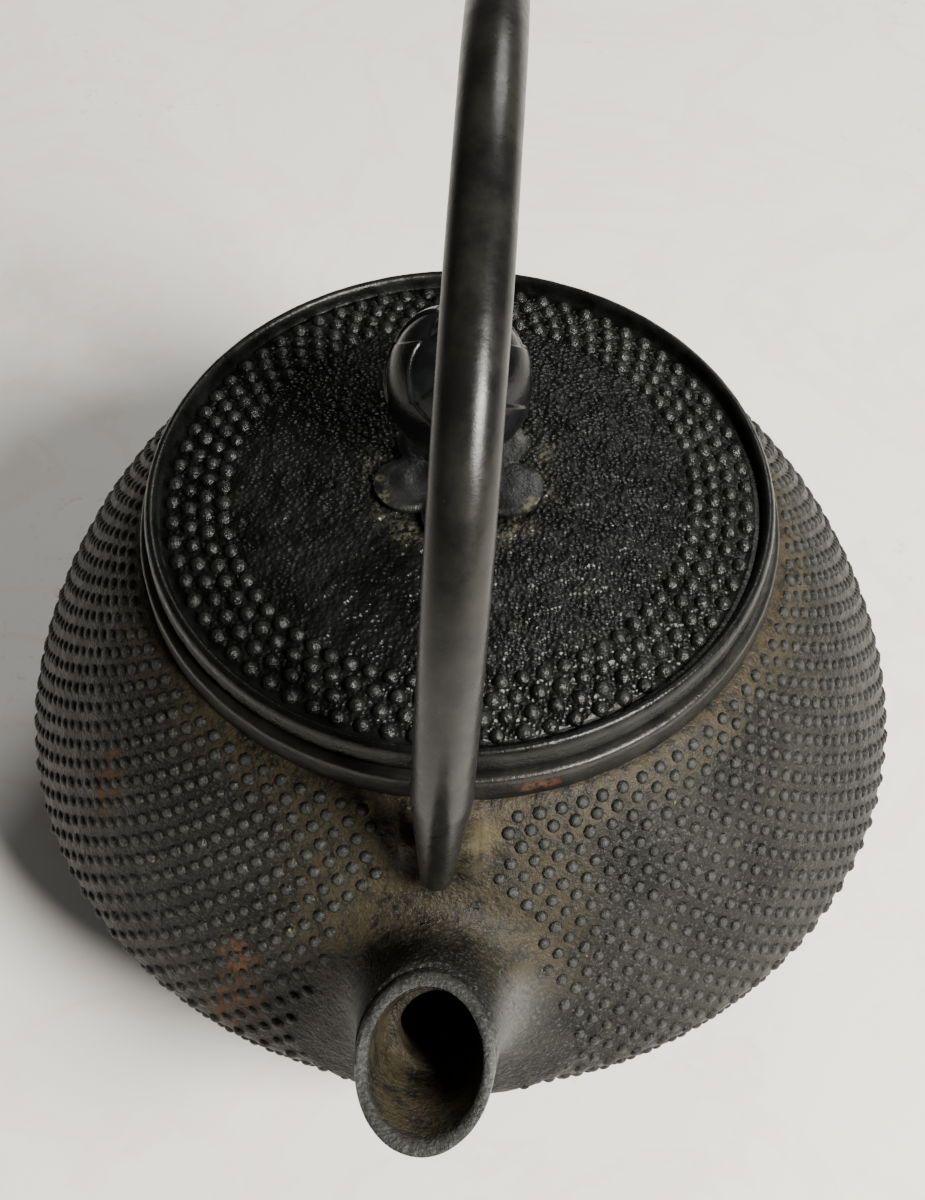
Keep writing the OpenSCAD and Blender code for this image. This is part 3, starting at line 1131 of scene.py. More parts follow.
@dataclass(frozen=True)
class SpoutSizes:
    """Sizes of the spout, lengths measured from its mouth down its axis."""

    reach: float = 80.0
    height: float = 65.5
    angle: float = 42.0
    slope: float = 6.0
    radius: float = 8.9
    growth: float = 0.06
    flare_from: float = 12.0
    flare_l: float = 19.0
    flare_w: float = 9.0
    side_w: float = 3.0
    inner_r: float = 7.2
    funnel_l: float = 7.5
    funnel_r: float = 5.9
    throat_r: float = 5.4
    throat_shift: float = 1.4
    channel_r: float = 7.4
    channel_end: float = 33.0

    @property
    def mouth(self) -> Array:
        """Middle of the mouth."""
        return np.array([0.0, -self.reach, self.height])

    @property
    def out(self) -> Array:
        """Direction of the axis, out of the mouth."""
        a = math.radians(self.angle)
        return np.array([0.0, -math.cos(a), math.sin(a)])

    @property
    def over(self) -> Array:
        """Direction across the axis, towards the pot's top."""
        a = math.radians(self.angle)
        return np.array([0.0, math.sin(a), math.cos(a)])

    @property
    def face(self) -> Array:
        """Normal of the mouth's cut."""
        a = math.radians(self.slope)
        return np.array([0.0, -math.sin(a), math.cos(a)])

    def local(self, points: Array) -> Tuple[Array, Array, Array, Array]:
        """Measures points from the mouth.

        Args:
            points: the points.

        Returns:
            Distance down the axis, across, over, and above the mouth's cut.
        """
        q = points - self.mouth
        return -(q @ self.out), q[:, 0], q @ self.over, q @ self.face

    def radii(self, down: Array) -> Tuple[Array, Array]:
        """Outer radii at a distance down the axis.

        Args:
            down: the distance.

        Returns:
            The radius to the side, and the radius above and below.
        """
        t = np.clip((down - self.flare_from) / self.flare_l, 0.0, 1.0)
        plain = self.radius + self.growth * down
        side = plain + self.flare_w * t ** 3 + self.side_w * t ** 2
        ends = np.clip((46.0 - down) / (46.0 - self.flare_from - self.flare_l), 0.05, 1.0)
        return side * ends, (plain + self.flare_w * t ** 3) * ends


class Casting:
    """The pot's solid, described by distances."""

    SPACING = 0.4

    def __init__(self, pot: PotSizes, spout: SpoutSizes) -> None:
        """Tabulates the distance to the pot's section.

        Args:
            pot: sizes of the pot.
            spout: sizes of the spout.
        """
        self.pot, self.spout = pot, spout
        foot, outer = pot.base_r - pot.base_round, pot.groove_r
        inner, deep = outer - pot.groove_w, pot.groove_h
        line = np.concatenate(
            [
                [(0.0, pot.shoulder_z), (pot.collar_r - 0.6, pot.shoulder_z)],
                pot.outside(),
                refined([(foot, 0.0), (outer, 0.0)], 2.0),
                [(outer - 0.2, deep), (inner + 0.2, deep), (inner, 0.0), (0.0, 0.0)],
            ]
        )
        self.low = np.array([0.0, -8.0])
        cells = (int(118 / self.SPACING), int(104 / self.SPACING))
        r, z = np.meshgrid(
            self.low[0] + self.SPACING * np.arange(cells[0]),
            self.low[1] + self.SPACING * np.arange(cells[1]),
            indexing="ij",
        )
        nearest = np.full(r.shape, 1e9)
        inside = np.zeros(r.shape, bool)
        for (r0, z0), (r1, z1) in zip(line[:-1], line[1:]):
            dr, dz = r1 - r0, z1 - z0
            size = dr * dr + dz * dz
            if size < 1e-12:
                continue
            t = np.clip(((r - r0) * dr + (z - z0) * dz) / size, 0.0, 1.0)
            nearest = np.minimum(nearest, (r - r0 - t * dr) ** 2 + (z - z0 - t * dz) ** 2)
            if dz != 0.0:
                crossed = ((z0 > z) != (z1 > z)) & (r < r0 + (z - z0) * dr / dz)
                inside ^= crossed
        self.table = np.sqrt(nearest) * np.where(inside, -1.0, 1.0)

    def plain(self, points: Array) -> Array:
        """Distance to the pot without spout and lugs.

        Args:
            points: the places.

        Returns:
            The distances.
        """
        r = np.hypot(points[:, 0], points[:, 1])
        q = (np.column_stack([r, points[:, 2]]) - self.low) / self.SPACING
        q = np.clip(q, 0.0, np.array(self.table.shape) - 1.001)
        i = q.astype(int)
        u, v = (q - i).T
        t, a, b = self.table, i[:, 0], i[:, 1]
        return (
            t[a, b] * (1 - u) * (1 - v) + t[a + 1, b] * u * (1 - v)
            + t[a, b + 1] * (1 - u) * v + t[a + 1, b + 1] * u * v
        )

    def lugs(self, points: Array) -> Array:
        """Distance to the two lugs.

        Args:
            points: the places.

        Returns:
            The distances.
        """
        p = self.pot
        half = np.array([p.lug_w / 2, (p.lug_face - p.lug_in) / 2, 12.0]) - p.lug_round
        middle = np.array([0.0, (p.lug_face + p.lug_in) / 2, p.lug_top - 12.0])
        q = np.column_stack([points[:, 0], np.abs(points[:, 1]), points[:, 2]]) - middle
        q = np.abs(q) - half
        return (
            np.linalg.norm(np.maximum(q, 0.0), axis=1)
            + np.minimum(q.max(axis=1), 0.0)
            - p.lug_round
        )

    def spout_side(self, points: Array) -> Array:
        """Distance to the spout's outer side.

        Args:
            points: the places.

        Returns:
            The distances.
        """
        down, across, over, _ = self.spout.local(points)
        side, up = self.spout.radii(down)
        share = np.hypot(across / side, over / up)
        return (share - 1.0) * 0.5 * (side + up) * 0.97

    def whole(self, points: Array) -> Array:
        """Distance to the pot with its lugs and the spout, which is cut off at its mouth.

        Args:
            points: the places.

        Returns:
            The distances.
        """
        above = self.spout.local(points)[3]
        r, z = np.hypot(points[:, 0], points[:, 1]), points[:, 2]
        limit = self.pot.belly_r + 0.3 + 30.0 * ease(38.0, 54.0, z) ** 2
        tube = -blend_low(-self.spout_side(points), limit - r, 2.0)
        tube = np.maximum(tube, above)
        made = blend_low(self.plain(points), tube, 5.0)
        return blend_low(made, self.lugs(points), 1.2)


@dataclass(frozen=True)
class Nails:
    """Rings of hobnails."""

    around: int = 102
    pitch: float = 2.12
    first: float = 2.6
    radius: float = 0.96
    height: float = 0.50
    lowest: float = 9.0


class Pot:
    """The body: skin, spout, collar with its lining, and hobnails."""

    SPLIT = 17.6
    # Turn about the axis in degrees, height and size of each rust spot.
    RUST = (
        (215.0, 56.0, 4.4), (216.0, 51.0, 3.0), (244.0, 46.0, 3.4), (245.0, 40.0, 4.4),
        (243.0, 35.0, 3.0), (48.0, 56.0, 2.4), (77.0, 47.0, 2.0),
    )
    # Turn and height of the pale fleck beside the front lug.
    FLECK = (258.0, 71.0)

    def __init__(self, pot: PotSizes, spout: SpoutSizes, nails: Nails) -> None:
        """Takes the sizes.

        Args:
            pot: sizes of the pot.
            spout: sizes of the spout.
            nails: sizes of the hobnails.
        """
        self.pot, self.spout, self.nails = pot, spout, nails
        self.casting = Casting(pot, spout)

    def roughness(self, points: Array) -> Array:
        """How far the sand mould's grain moves each point.

        Args:
            points: the points.

        Returns:
            Distances along the normals.
        """
        near = ease(4.5, 1.5, np.abs(points[:, 2] - 71.0))
        amount = 0.10 + 0.10 * near
        return amount * GRAIN.at(points, 3.4, 3, 0.7) - 0.04

    def away(self, points: Array, turn: float, height: float) -> Array:
        """How far each point lies from a place on the pot's outer side.

        Args:
            points: the points.
            turn: the place's turn about the axis, in degrees.
            height: its height.

        Returns:
            The distances.
        """
        section = self.pot.outside()[::-1]
        r, a = np.interp(height, section[:, 1], section[:, 0]), math.radians(turn)
        return np.linalg.norm(points - np.array([r * math.cos(a), r * math.sin(a), height]), axis=1)

    def tones(self, points: Array) -> Dict[str, Array]:
        """Shares of a painted pale sheen on the spout's lower sides, brown film, dust and rust over the
        casting.

        Args:
            points: the points.

        Returns:
            One array for each mask.
        """
        down, across, over, _ = self.spout.local(points)
        r = np.hypot(points[:, 0], points[:, 1])
        lump = GRAIN.at(points, 9.0, 3)
        root = np.exp(-((down - 24.0) / 6.0) ** 2) * ease(26.0, 12.0, np.abs(across))
        neck = ease(66.5, 70.5, points[:, 2] + 1.2 * lump)
        brown = np.clip(neck + root * ease(-4.0, 6.0, over) + 0.25 * ease(0.1, 0.6, lump), 0, 1)
        # Painted reflection: the spout tube's lower sides are painted paler, standing in for the bright
        # floor reflected in them.
        tube = ease(26.0, 19.0, down) * ease(60.0, 64.0, r)
        worn = 0.55 * tube * ease(6.0, 8.5, np.abs(across) + 1.2 * lump) * ease(6.0, 1.0, over)
        rust = np.zeros(len(points))
        for turn, height, size in self.RUST:
            away = self.away(points, turn, height)
            rust = np.maximum(rust, ease(1.4 * size, 0.3 * size, away))
        p = self.pot
        corner = np.array([0.5 * p.lug_w + 2.0, 2.0 - p.lug_face, p.lug_top - 1.3])
        dust = 0.4 * ease(4.0, 1.0, np.linalg.norm(points - corner, axis=1))
        dust = np.maximum(dust, ease(1.3, 0.7, self.away(points, *self.FLECK)))
        return {"worn": worn, "brown": brown, "rust": rust, "dust": dust}

    def skin(self, material: bpy.types.Material) -> bpy.types.Object:
        """The pot's outer side with the lugs and the spout's root.

        Args:
            material: the finish.

        Returns:
            The piece.
        """

        def solid(points: Array) -> Array:
            """Distance to the pot without the free part of the spout."""
            free = np.minimum(
                self.SPLIT - self.spout.local(points)[0],
                np.hypot(points[:, 0], points[:, 1]) - 56.0,
            )
            return np.maximum(self.casting.whole(points), free)

        shell = net(solid, np.array([-70.0, -80.0, -1.0]), np.array([70.0, 70.0, 74.0]), 0.86)
        r = np.hypot(shell.points[:, 0], shell.points[:, 1])
        down = self.spout.local(shell.points)[0]
        hidden = (r < 43.6) & (shell.points[:, 2] > 70.0)
        hidden |= (down < self.SPLIT + 0.1) & (r > 56.0)
        shell = shell.kept(~hidden)
        shell.masks = self.tones(shell.points)
        foot = ease(1.5, 3.0, shell.points[:, 2])
        x, y, z = np.abs(shell.points).T
        lug = ease(9.5, 7.0, x) * ease(43.0, 46.0, y) * ease(56.0, 54.5, y) * ease(58.0, 61.0, z)
        shell.push(self.roughness(shell.points) * foot * (1.0 - lug) - 0.11 * lug)
        shell.points[:, 2] = np.maximum(shell.points[:, 2], 0.0)
        return shell.build("body_casting", material, 80.0)

    def spout_tube(self, material: bpy.types.Material) -> bpy.types.Object:
        """The free part of the spout, from its root to just under the lip.

        Args:
            material: the finish.

        Returns:
            The piece.
        """

        def solid(points: Array) -> Array:
            """Distance to the free part of the spout, hollow in the middle."""
            down, across, over, above = self.spout.local(points)
            core = np.hypot(across, over) - 8.1
            made = self.casting.whole(points) - 0.03 * ease(self.SPLIT - 3.0, self.SPLIT, down)
            made = np.maximum(made, down - self.SPLIT - 1.8)
            return np.maximum(np.maximum(made, above + 1.25), -core)

        shell = net(solid, np.array([-15.0, -93.0, 38.0]), np.array([15.0, -56.0, 72.0]), 0.42)
        shell.masks = self.tones(shell.points)
        shell.push(self.roughness(shell.points))
        return shell.build("spout_tube", material, 80.0)

    def lip(self, material: bpy.types.Material) -> bpy.types.Object:
        """The spout's lip, its funnel, the throat and the channel behind.

        Args:
            material: the finish.

        Returns:
            The piece.
        """
        s = self.spout
        steps: List[Tuple[float, float, float]] = []
        for radius, depth, shift in (
            (s.channel_r, s.channel_end, s.throat_shift),
            (s.channel_r, s.funnel_l + 9.0, s.throat_shift),
            (s.throat_r, s.funnel_l + 2.6, s.throat_shift),
            (s.throat_r, s.funnel_l + 0.35, s.throat_shift),
            (s.throat_r + 0.25, s.funnel_l, s.throat_shift),
            (s.funnel_r - 0.1, s.funnel_l - 0.05, 0.35),
            (s.funnel_r + 0.15, s.funnel_l - 0.6, 0.1),
            (6.55, 4.0, 0.0),
            (6.95, 1.9, 0.0),
            (s.inner_r, 0.55, 0.0),
            (s.inner_r + 0.22, 0.12, 0.0),
            (s.inner_r + 0.5, 0.0, 0.0),
            (s.radius - 0.62, 0.0, 0.0),
            (s.radius - 0.28, 0.12, 0.0),
            (s.radius - 0.14, 0.5, 0.0),
            (s.radius - 0.08, 1.1, 0.0),
            (s.radius - 0.06, 1.8, 0.0),
            (s.radius - 0.5, 2.8, 0.0),
            (s.channel_r + 0.6, s.channel_end, 0.6),
        ):
            steps.append((radius, depth, shift))
        fine: List[Tuple[float, float, float]] = [steps[0]]
        for a, b in zip(steps[:-1], steps[1:]):
            parts = max(1, int(math.hypot(b[0] - a[0], b[1] - a[1]) / 0.35))
            for k in range(1, min(parts, 24) + 1):
                t = k / min(parts, 24)
                fine.append(tuple(u + (v - u) * t for u, v in zip(a, b)))
        around = 128
        angle = 2.0 * math.pi * np.arange(around) / around
        rings = []
        for radius, depth, shift in fine:
            ring = (
                s.mouth
                + np.outer(shift + radius * np.cos(angle), [1.0, 0.0, 0.0])
                + np.outer(radius * np.sin(angle), s.over)
            )
            along = (-depth - (ring - s.mouth) @ s.face) / (s.out @ s.face)
            deep = ease(1.0, s.funnel_l, np.full(around, depth))
            flat = -depth / (s.out @ s.face)
            along = along * (1.0 - deep) + deep * flat
            rings.append(ring + np.outer(along - 0.23, s.out))
        shell = rings_to_shell(np.array(rings)[::-1], False, False, True)
        shell.masks = self.tones(shell.points)
        _, across, over, above = s.local(shell.points)
        inner = ease(8.3, 7.6, np.hypot(across, over)) * ease(-0.3, -1.5, above)
        low_left = ease(6.0, -5.0, across + over)
        shell.masks["brown"] = np.maximum(shell.masks["brown"], inner * (0.3 + 0.5 * low_left))
        # The tube's painted pale sheen is cleared inside the mouth, and the rim's top is painted paler.
        shell.masks["worn"] = np.maximum(
            shell.masks["worn"] * (1 - inner), 0.16 * ease(-0.9, -0.1, above)
        )
        shell.push(0.06 * GRAIN.at(shell.points, 2.2, 3, 0.7) - 0.05)
        return shell.build("spout_lip", material, 50.0)

    def lining(self, material: bpy.types.Material) -> bpy.types.Object:
        """The collar, the ledge for the strainer and the hollow's wall.

        Args:
            material: the finish.

        Returns:
            The piece.
        """
        p = self.pot
        rim = p.shoulder_z + p.collar_h
        inner, outer = p.inside(), p.outside()
        middle = 0.5 * (inner + outer)
        ledge = rim - p.ledge_drop
        top = refined(
            [
                (p.mouth_r, p.shoulder_z - p.wall),
                (p.mouth_r, ledge - 0.3),
                (p.mouth_r + 0.3, ledge),
                (p.recess_r, ledge),
                (p.recess_r, rim - 0.25),
                (p.recess_r + 0.25, rim),
                (p.collar_r - 0.9, rim),
                (p.collar_r - 0.45, rim - 0.12),
                (p.collar_r - 0.12, rim - 0.45),
                (p.collar_r - 0.04, rim - 0.9),
                (p.collar_r - 0.04, p.shoulder_z + 0.9),
                (p.collar_r - 0.14, p.shoulder_z - 0.3),
                (p.collar_r - 1.4, p.shoulder_z - 1.2),
                (middle[0, 0] + 1.4, p.shoulder_z - 2.2),
            ],
            0.7,
        )
        profile = np.concatenate(
            [[(0.0, p.floor)], inner[:0:-1][::2], top, middle[2::3], [(0.0, 2.3)]]
        )
        shell = turned(profile, 300)
        r = np.hypot(shell.points[:, 0], shell.points[:, 1])
        seen = ease(p.shoulder_z - 1.0, p.shoulder_z, shell.points[:, 2]) * ease(44.5, 45.4, r)
        wave = GRAIN.at(shell.points * np.array([1.0, 1.0, 1.6]), 4.0, 3, 0.6)
        shell.push(seen * (0.09 * wave - 0.07))
        low = ease(rim - 1.6, rim - 4.4, shell.points[:, 2] + 0.5 * wave)
        shell.masks["brown"] = seen * low * 0.7
        shell.masks["tip"] = seen * ease(rim - 0.9, rim - 0.2, shell.points[:, 2]) * 0.8
        shell.masks["rust"] = ease(3.4, 1.6, np.abs(shell.points[:, 0] - 13.0)) * ease(
            1.3, 0.4, np.abs(shell.points[:, 2] - rim + 2.4)
        ) * ease(-40.0, -43.0, shell.points[:, 1])
        return shell.build("collar_and_lining", material, 45.0)

    def hobnails(self, repeater: Repeater, material: bpy.types.Material) -> bpy.types.Object:
        """The hobnails, left out round the spout and the lugs.

        Args:
            repeater: the tree that sets them out.
            material: the finish.

        Returns:
            The piece.
        """
        n = self.nails
        line = self.pot.outside()
        steps = np.linalg.norm(np.diff(line, axis=0), axis=1)
        run = np.concatenate([[0.0], np.cumsum(steps)])
        places = []
        row = 0
        while True:
            at = n.first + n.pitch * row
            r, z = np.interp(at, run, line[:, 0]), np.interp(at, run, line[:, 1])
            if z < n.lowest and at > 30.0:
                break
            turn = 2.0 * math.pi * (np.arange(n.around) + 0.5 * (row % 2)) / n.around
            places.append(
                np.column_stack([r * np.cos(turn), r * np.sin(turn), np.full(n.around, z)])
            )
            row += 1
        points = np.concatenate(places)
        risen = self.casting.plain(points) - self.casting.whole(points)
        down, across, over, _ = self.spout.local(points)
        wide = np.hypot(across, over)
        clear = wide < 14.6 + 3.0 * np.maximum(0.0, over / np.maximum(wide, 1.0))
        clear &= (points[:, 1] < -40.0) & (down < 45.0)
        lug = (np.abs(points[:, 0]) < 8.0) & (np.abs(points[:, 1]) > 40) & (points[:, 2] > 63.5)
        points = points[(risen < 0.8) & ~clear & ~lug]
        points = points - self.casting.whole(points)[:, None] * gradient(
            self.casting.whole, points, 0.3
        )
        facing = gradient(self.casting.whole, points, 0.3)
        points = points + facing * self.roughness(points)[:, None]
        jitter = np.column_stack([GRAIN.at(points + 40.0 * k, 1.1) for k in (1, 2, 3)])
        points = points + 0.08 * jitter
        small = 1.0 - 0.25 * ease(0.3, 0.8, GRAIN.at(points, 6.0, 2))
        shape = hobnail(n.radius, n.height, 8, 3, 0.25)
        piece = repeater.build(
            "body_hobnails", shape, points, facing, material, scale=small, variation=0.07
        )
        LOG.info("%d hobnails on the body", len(points))
        return piece

    def build(self, repeater: Repeater) -> None:
        """Makes and dresses every piece of the pot.

        Args:
            repeater: the tree that sets hobnails out.
        """
        iron = IronSkin().build()
        collar = Enamel(
            "collar_iron", (0.003, 0.003, 0.003), (0.010, 0.0097, 0.008), coat=0.05,
            shine=0.22,
        ).build()
        skin = self.skin(iron)
        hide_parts("teapot_body")
        for piece, slot in (
            (skin, Slot.BODY),
            (self.spout_tube(iron), Slot.BODY),
            (self.lip(iron), Slot.BODY),
            (self.lining(collar), Slot.BODY),
            (self.hobnails(repeater, iron), Slot.BODY),
        ):
            settle(piece, Body.POT)


def settle(piece: bpy.types.Object, body: Body) -> None:
    """Hangs a piece on its body and logs it.

    Args:
        piece: the piece.
        body: the body that it rides on.
    """
    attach(piece, body.value)
    faces = sum(len(p.vertices) - 2 for p in piece.data.polygons)
    LOG.info("%s: %d triangles on %s", piece.name, faces, body.value)


# ---------------------------------------------------------------- the lid


@dataclass(frozen=True)
class LidSizes:
    """Sizes of the lid, heights above the collar's top."""

    base: float = 76.9
    radius: float = 45.0
    bead_h: float = 4.8
    bead_w: float = 1.9
    groove: float = 2.7
    edge: float = 3.0
    plate_r: float = 41.8
    crown: float = 7.0
    boss_r: float = 13.0
    power: float = 1.8
    thick: float = 3.2
    skirt_r: float = 35.7
    skirt_in: float = 32.7
    skirt_h: float = 6.0
    hole_r: float = 2.62
    nail_rows: int = 4
    nails: int = 72
    nail_r: float = 1.16
    nail_h: float = 0.74
    outer_row: float = 41.1
    row_step: float = 2.45

    def top(self, r: Array) -> Array:
        """Height of the dome.

        Args:
            r: distances from the axis.

        Returns:
            The heights.
        """
        t = np.maximum(0.0, np.asarray(r, float) - self.boss_r) / (self.plate_r - self.boss_r)
        return self.edge + (self.crown - self.edge) * (1.0 - t ** self.power)


class Lid:
    """The domed lid with its bead, locating ring and hobnails."""

    def __init__(self, sizes: LidSizes) -> None:
        """Takes the sizes.

        Args:
            sizes: sizes of the lid.
        """
        self.sizes = sizes

    def casting(self, material: bpy.types.Material) -> bpy.types.Object:
        """The lid's iron with its sand skin.

        Args:
            material: the finish.

        Returns:
            The piece.
        """
        s = self.sizes
        radii = np.arange(s.hole_r + 0.3, s.plate_r - 0.2, 0.37)
        dome = np.column_stack([radii, s.top(radii) - 0.08])
        bead_r, bead_c = s.bead_w / 2, s.radius - s.bead_w / 2
        bend = np.radians(np.arange(172.0, -1.0, -11.0))
        bead = np.column_stack(
            [
                bead_c + (bead_r - 0.05) * np.cos(bend),
                s.bead_h - 1.45 + 1.37 * np.sin(bend),
            ]
        )
        edge = [
            (s.plate_r, s.edge - 0.15), (s.plate_r + 0.25, s.groove), (s.plate_r + 0.5, s.groove - 0.1),
            (s.radius - s.bead_w - 0.3, s.groove - 0.1), (s.radius - s.bead_w - 0.1, s.groove + 0.2),
        ]
        side = refined(
            [
                tuple(bead[-1]), (s.radius - 0.05, 1.1), (s.radius - 0.2, 0.62),
                (s.radius - 0.55, 0.42), (s.radius - 1.4, 0.4), (s.radius - 1.42, 0.02),
                (s.skirt_r + 0.4, 0.02), (s.skirt_r, -0.4), (s.skirt_r, -s.skirt_h + 0.5),
                (s.skirt_r - 0.5, -s.skirt_h), (s.skirt_in + 0.5, -s.skirt_h),
                (s.skirt_in, -s.skirt_h + 0.5), (s.skirt_in, float(s.top(s.skirt_in)) - s.thick),
            ],
            0.9,
        )[1:]
        under = np.linspace(s.skirt_in - 0.8, s.hole_r + 0.02, 24)
        below = np.column_stack([under, s.top(under) - s.thick])
        hole = [(s.hole_r, s.crown - s.thick + 0.2), (s.hole_r, s.crown - 0.3)]
        profile = np.concatenate([dome, edge, bead, side, below, hole])
        profile[:, 1] += s.base
        shell = turned(profile, 500, True)
        p = shell.points
        r = np.hypot(p[:, 0], p[:, 1])
        height = p[:, 2] - s.base
        crown = ease(-0.6, 0.0, height - s.top(r)) * ease(s.plate_r + 0.1, s.plate_r - 0.5, r)
        on_bead = ease(3.4, 4.0, height) * ease(s.plate_r + 0.8, s.plate_r + 1.4, r)
        sand = np.clip(0.5 + 0.9 * GRAIN.at(p, 1.05, 1), 0.0, 1.0)
        broad = GRAIN.at(p, 3.6, 3, 0.6)
        shell.push(
            crown * (0.30 * sand + 0.10 * broad - 0.29)
            + on_bead * (0.03 * GRAIN.at(p, 1.1, 2, 0.6) + 0.05 * broad - 0.04)
        )
        shell.masks["dust"] = crown * (
            ease(3.2, 0.3, np.abs(r - 12.3)) * ease(-0.35, 0.35, broad)
            + 0.5 * ease(0.45, 0.8, GRAIN.at(p, 2.4, 3))
        ) * 0.16
        # Painted highlight: the sand grains' tops on the crown and the bead's crest are marked to be
        # painted lighter.
        shell.masks["tip"] = np.clip(crown * sand * 0.4 + 0.7 * on_bead * ease(4.2, 4.7, height), 0, 1)
        shell.masks["rust"] = 0.8 * on_bead * ease(0.6, 0.8, GRAIN.at(p, 5.0, 2))
        shell.masks["sand"] = crown
        return shell.build("lid_casting", material, 50.0)

    def hobnails(self, repeater: Repeater, material: bpy.types.Material) -> bpy.types.Object:
        """The lid's rings of bold hobnails.

        Args:
            repeater: the tree that sets them out.
            material: the finish.

        Returns:
            The piece.
        """
        s = self.sizes
        points, facing = [], []
        for row in range(s.nail_rows):
            r = s.outer_row - s.row_step * row
            slope = float(s.top(r + 0.1) - s.top(r - 0.1)) / 0.2
            turn = 2.0 * math.pi * (np.arange(s.nails) + 0.5 * (row % 2)) / s.nails
            out = np.column_stack([np.cos(turn), np.sin(turn), np.zeros(s.nails)])
            up = np.array([0.0, 0.0, 1.0])
            points.append(out * r + up * (s.base + float(s.top(r)) - 0.06))
            facing.append(up - slope * out)
        places = np.concatenate(points)
        places = places + 0.07 * np.column_stack(
            [GRAIN.at(places + 40.0 * k, 1.3) for k in (1, 2, 3)]
        )
        shape = hobnail(s.nail_r, s.nail_h, 16, 5, 0.3)
        return repeater.build(
            "lid_hobnails", shape, places, np.concatenate(facing), material, variation=0.06
        )

    def build(self, repeater: Repeater) -> None:
        """Makes and dresses the lid's pieces.

        Args:
            repeater: the tree that sets hobnails out.
        """
        glaze = Enamel(
            "lid_iron", (0.0012, 0.0014, 0.0013), (0.0055, 0.0062, 0.0057),
            gloss=0.24, grain=0.08, sand=0.30, shine=0.17,
        ).build()
        capped = Enamel(
            "lid_nails", (0.002, 0.0023, 0.0021), (0.010, 0.011, 0.0098),
            gloss=0.17, grain=0.30, shine=0.26,
        ).build()
        casting = self.casting(glaze)
        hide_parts("lid")
        settle(casting, Body.LID)
        settle(self.hobnails(repeater, capped), Body.LID)


# ---------------------------------------------------------------- the knob


@dataclass(frozen=True)
class KnobSizes:
    """Sizes of the bud and its flower-shaped seat."""

    seat_z: float = 83.9
    seat_h: float = 1.6
    seat_r: float = 12.3
    lobe_r: float = 4.9
    lobes: int = 5
    core_r: float = 8.0
    neck_r: float = 4.2
    bud_z: float = 95.3
    bud_r: float = 10.2
    bud_h: float = 18.5
    middle: float = 0.45
    power: float = 0.85
    pit_r: float = 2.2
    petal: float = 0.42


